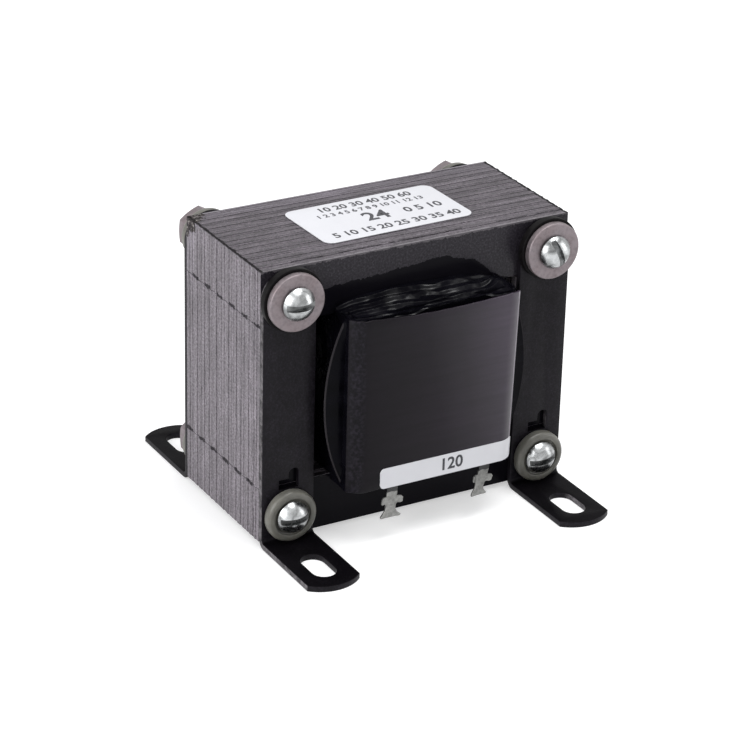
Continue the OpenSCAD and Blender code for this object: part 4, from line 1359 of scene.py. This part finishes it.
def aim_camera(scene):
    """The camera, in front and to the left, a little above the part."""
    azimuth, height, roll = math.radians(-30.23), math.radians(25.18), math.radians(1.545)
    distance, sink, focal_length = 0.5592, 0.00559, 137.33
    back = Vector((math.sin(azimuth) * math.cos(height), -math.cos(azimuth) * math.cos(height),
                   math.sin(height)))
    across = (-back).cross(Vector((0, 0, 1))).normalized()
    up = across.cross(-back)
    right = across * math.cos(roll) + up * math.sin(roll)
    top = -across * math.sin(roll) + up * math.cos(roll)
    spot = Vector((0, 0, CORE_MID_Z)) + back * distance - top * sink
    lens = bpy.data.cameras.new("view")
    lens.sensor_width = 36.0
    lens.lens = focal_length
    camera = bpy.data.objects.new("view", lens)
    scene.collection.objects.link(camera)
    turn = Matrix((right, top, back)).transposed().to_4x4()
    camera.matrix_world = Matrix.Translation(spot) @ turn
    scene.camera = camera


def build_stage(_looks):
    """A white floor, soft lamps and the camera."""
    scene = bpy.context.scene
    scene.view_settings.view_transform = "Standard"
    lay_floor()
    light_world(scene)
    hang_lamps(scene)
    aim_camera(scene)


# ---------------------------------------------------------------- Operators

class PieceOperator(bpy.types.Operator):
    """Shared body of the building operators"""
    bl_options = {"REGISTER", "UNDO"}

    def execute(self, context):
        type(self).build(context.scene.transformer_looks)
        return {"FINISHED"}


class TRANSFORMER_OT_core(PieceOperator):
    """Finish the plates of the core"""
    bl_idname = "transformer.core"
    bl_label = "Core Plates"

    @staticmethod
    def build(looks):
        steel = core_finish(looks)
        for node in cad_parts:
            if node.startswith(("e_pack_", "i_pack_")):
                material_on(node, steel)


class TRANSFORMER_OT_inner(PieceOperator):
    """Finish the coil's inner pieces"""
    bl_idname = "transformer.inner"
    bl_label = "Inner Coil Pieces"

    @staticmethod
    def build(_looks):
        kraft = paper_finish("kraft_paper", (0.3, 0.19, 0.1), (0.2, 0.12, 0.06))
        dark = paper_finish("soaked_paper", (0.03, 0.022, 0.018), (0.012, 0.01, 0.01))
        copper = copper_finish()
        sleeve = paper_finish("sleeve_tube", (0.5, 0.4, 0.26), (0.36, 0.28, 0.17))
        for node, material in (("coil_former", kraft), ("winding_barrier", kraft), ("winding_margins", dark),
                               ("primary_winding", copper), ("secondary_winding", copper),
                               ("bolt_sleeves", sleeve)):
            material_on(node, material)


class TRANSFORMER_OT_wrap(PieceOperator):
    """Build the outer wrap with its torn ends"""
    bl_idname = "transformer.wrap"
    bl_label = "Outer Wrap"
    build = staticmethod(build_wrap)


class TRANSFORMER_OT_pads(PieceOperator):
    """Build the pads over the coil"""
    bl_idname = "transformer.pads"
    bl_label = "Coil Pads"
    build = staticmethod(build_pads)


class TRANSFORMER_OT_labels(PieceOperator):
    """Build the labels"""
    bl_idname = "transformer.labels"
    bl_label = "Labels"
    build = staticmethod(build_labels)


class TRANSFORMER_OT_lugs(PieceOperator):
    """Build the solder lugs"""
    bl_idname = "transformer.lugs"
    bl_label = "Solder Lugs"
    build = staticmethod(build_lugs)


class TRANSFORMER_OT_straps(PieceOperator):
    """Build the folded foot straps"""
    bl_idname = "transformer.straps"
    bl_label = "Foot Straps"
    build = staticmethod(build_straps)


class TRANSFORMER_OT_washers(PieceOperator):
    """Build the washers"""
    bl_idname = "transformer.washers"
    bl_label = "Washers"
    build = staticmethod(build_washers)


class TRANSFORMER_OT_bolts(PieceOperator):
    """Build the slotted clamp bolts"""
    bl_idname = "transformer.bolts"
    bl_label = "Clamp Bolts"

    @staticmethod
    def build(looks):
        dressed(build_bolts(looks), plating_finish(looks), "clamp_bolts", angle=35)


class TRANSFORMER_OT_nuts(PieceOperator):
    """Build the nuts and lock washers"""
    bl_idname = "transformer.nuts"
    bl_label = "Nuts"
    build = staticmethod(build_nuts)


class TRANSFORMER_OT_stage(PieceOperator):
    """Set up the floor, lamps and camera"""
    bl_idname = "transformer.stage"
    bl_label = "Stage"
    build = staticmethod(build_stage)


STEPS = (TRANSFORMER_OT_core, TRANSFORMER_OT_inner, TRANSFORMER_OT_wrap, TRANSFORMER_OT_pads,
         TRANSFORMER_OT_labels, TRANSFORMER_OT_lugs, TRANSFORMER_OT_straps, TRANSFORMER_OT_washers,
         TRANSFORMER_OT_bolts, TRANSFORMER_OT_nuts, TRANSFORMER_OT_stage)


class TRANSFORMER_PT_panel(bpy.types.Panel):
    """Lists the transformer's settings and building steps"""
    bl_idname = "TRANSFORMER_PT_panel"
    bl_label = "Laminated Transformer"
    bl_space_type = "VIEW_3D"
    bl_region_type = "UI"
    bl_category = "Transformer"

    def draw(self, context):
        looks = context.scene.transformer_looks
        for step in STEPS:
            self.layout.operator(step.bl_idname)
        for name in looks.bl_rna.properties.keys():
            if name not in ("rna_type", "name"):
                self.layout.prop(looks, name)


CLASSES = (TransformerLooks, *STEPS, TRANSFORMER_PT_panel)


def register():
    for cls in CLASSES:
        bpy.utils.register_class(cls)
    bpy.types.Scene.transformer_looks = PointerProperty(type=TransformerLooks)


def unregister():
    del bpy.types.Scene.transformer_looks
    for cls in reversed(CLASSES):
        bpy.utils.unregister_class(cls)


def main():
    register()
    for step in STEPS:
        group, name = step.bl_idname.split(".")
        getattr(getattr(bpy.ops, group), name)()


if __name__ == "__main__":
    main()
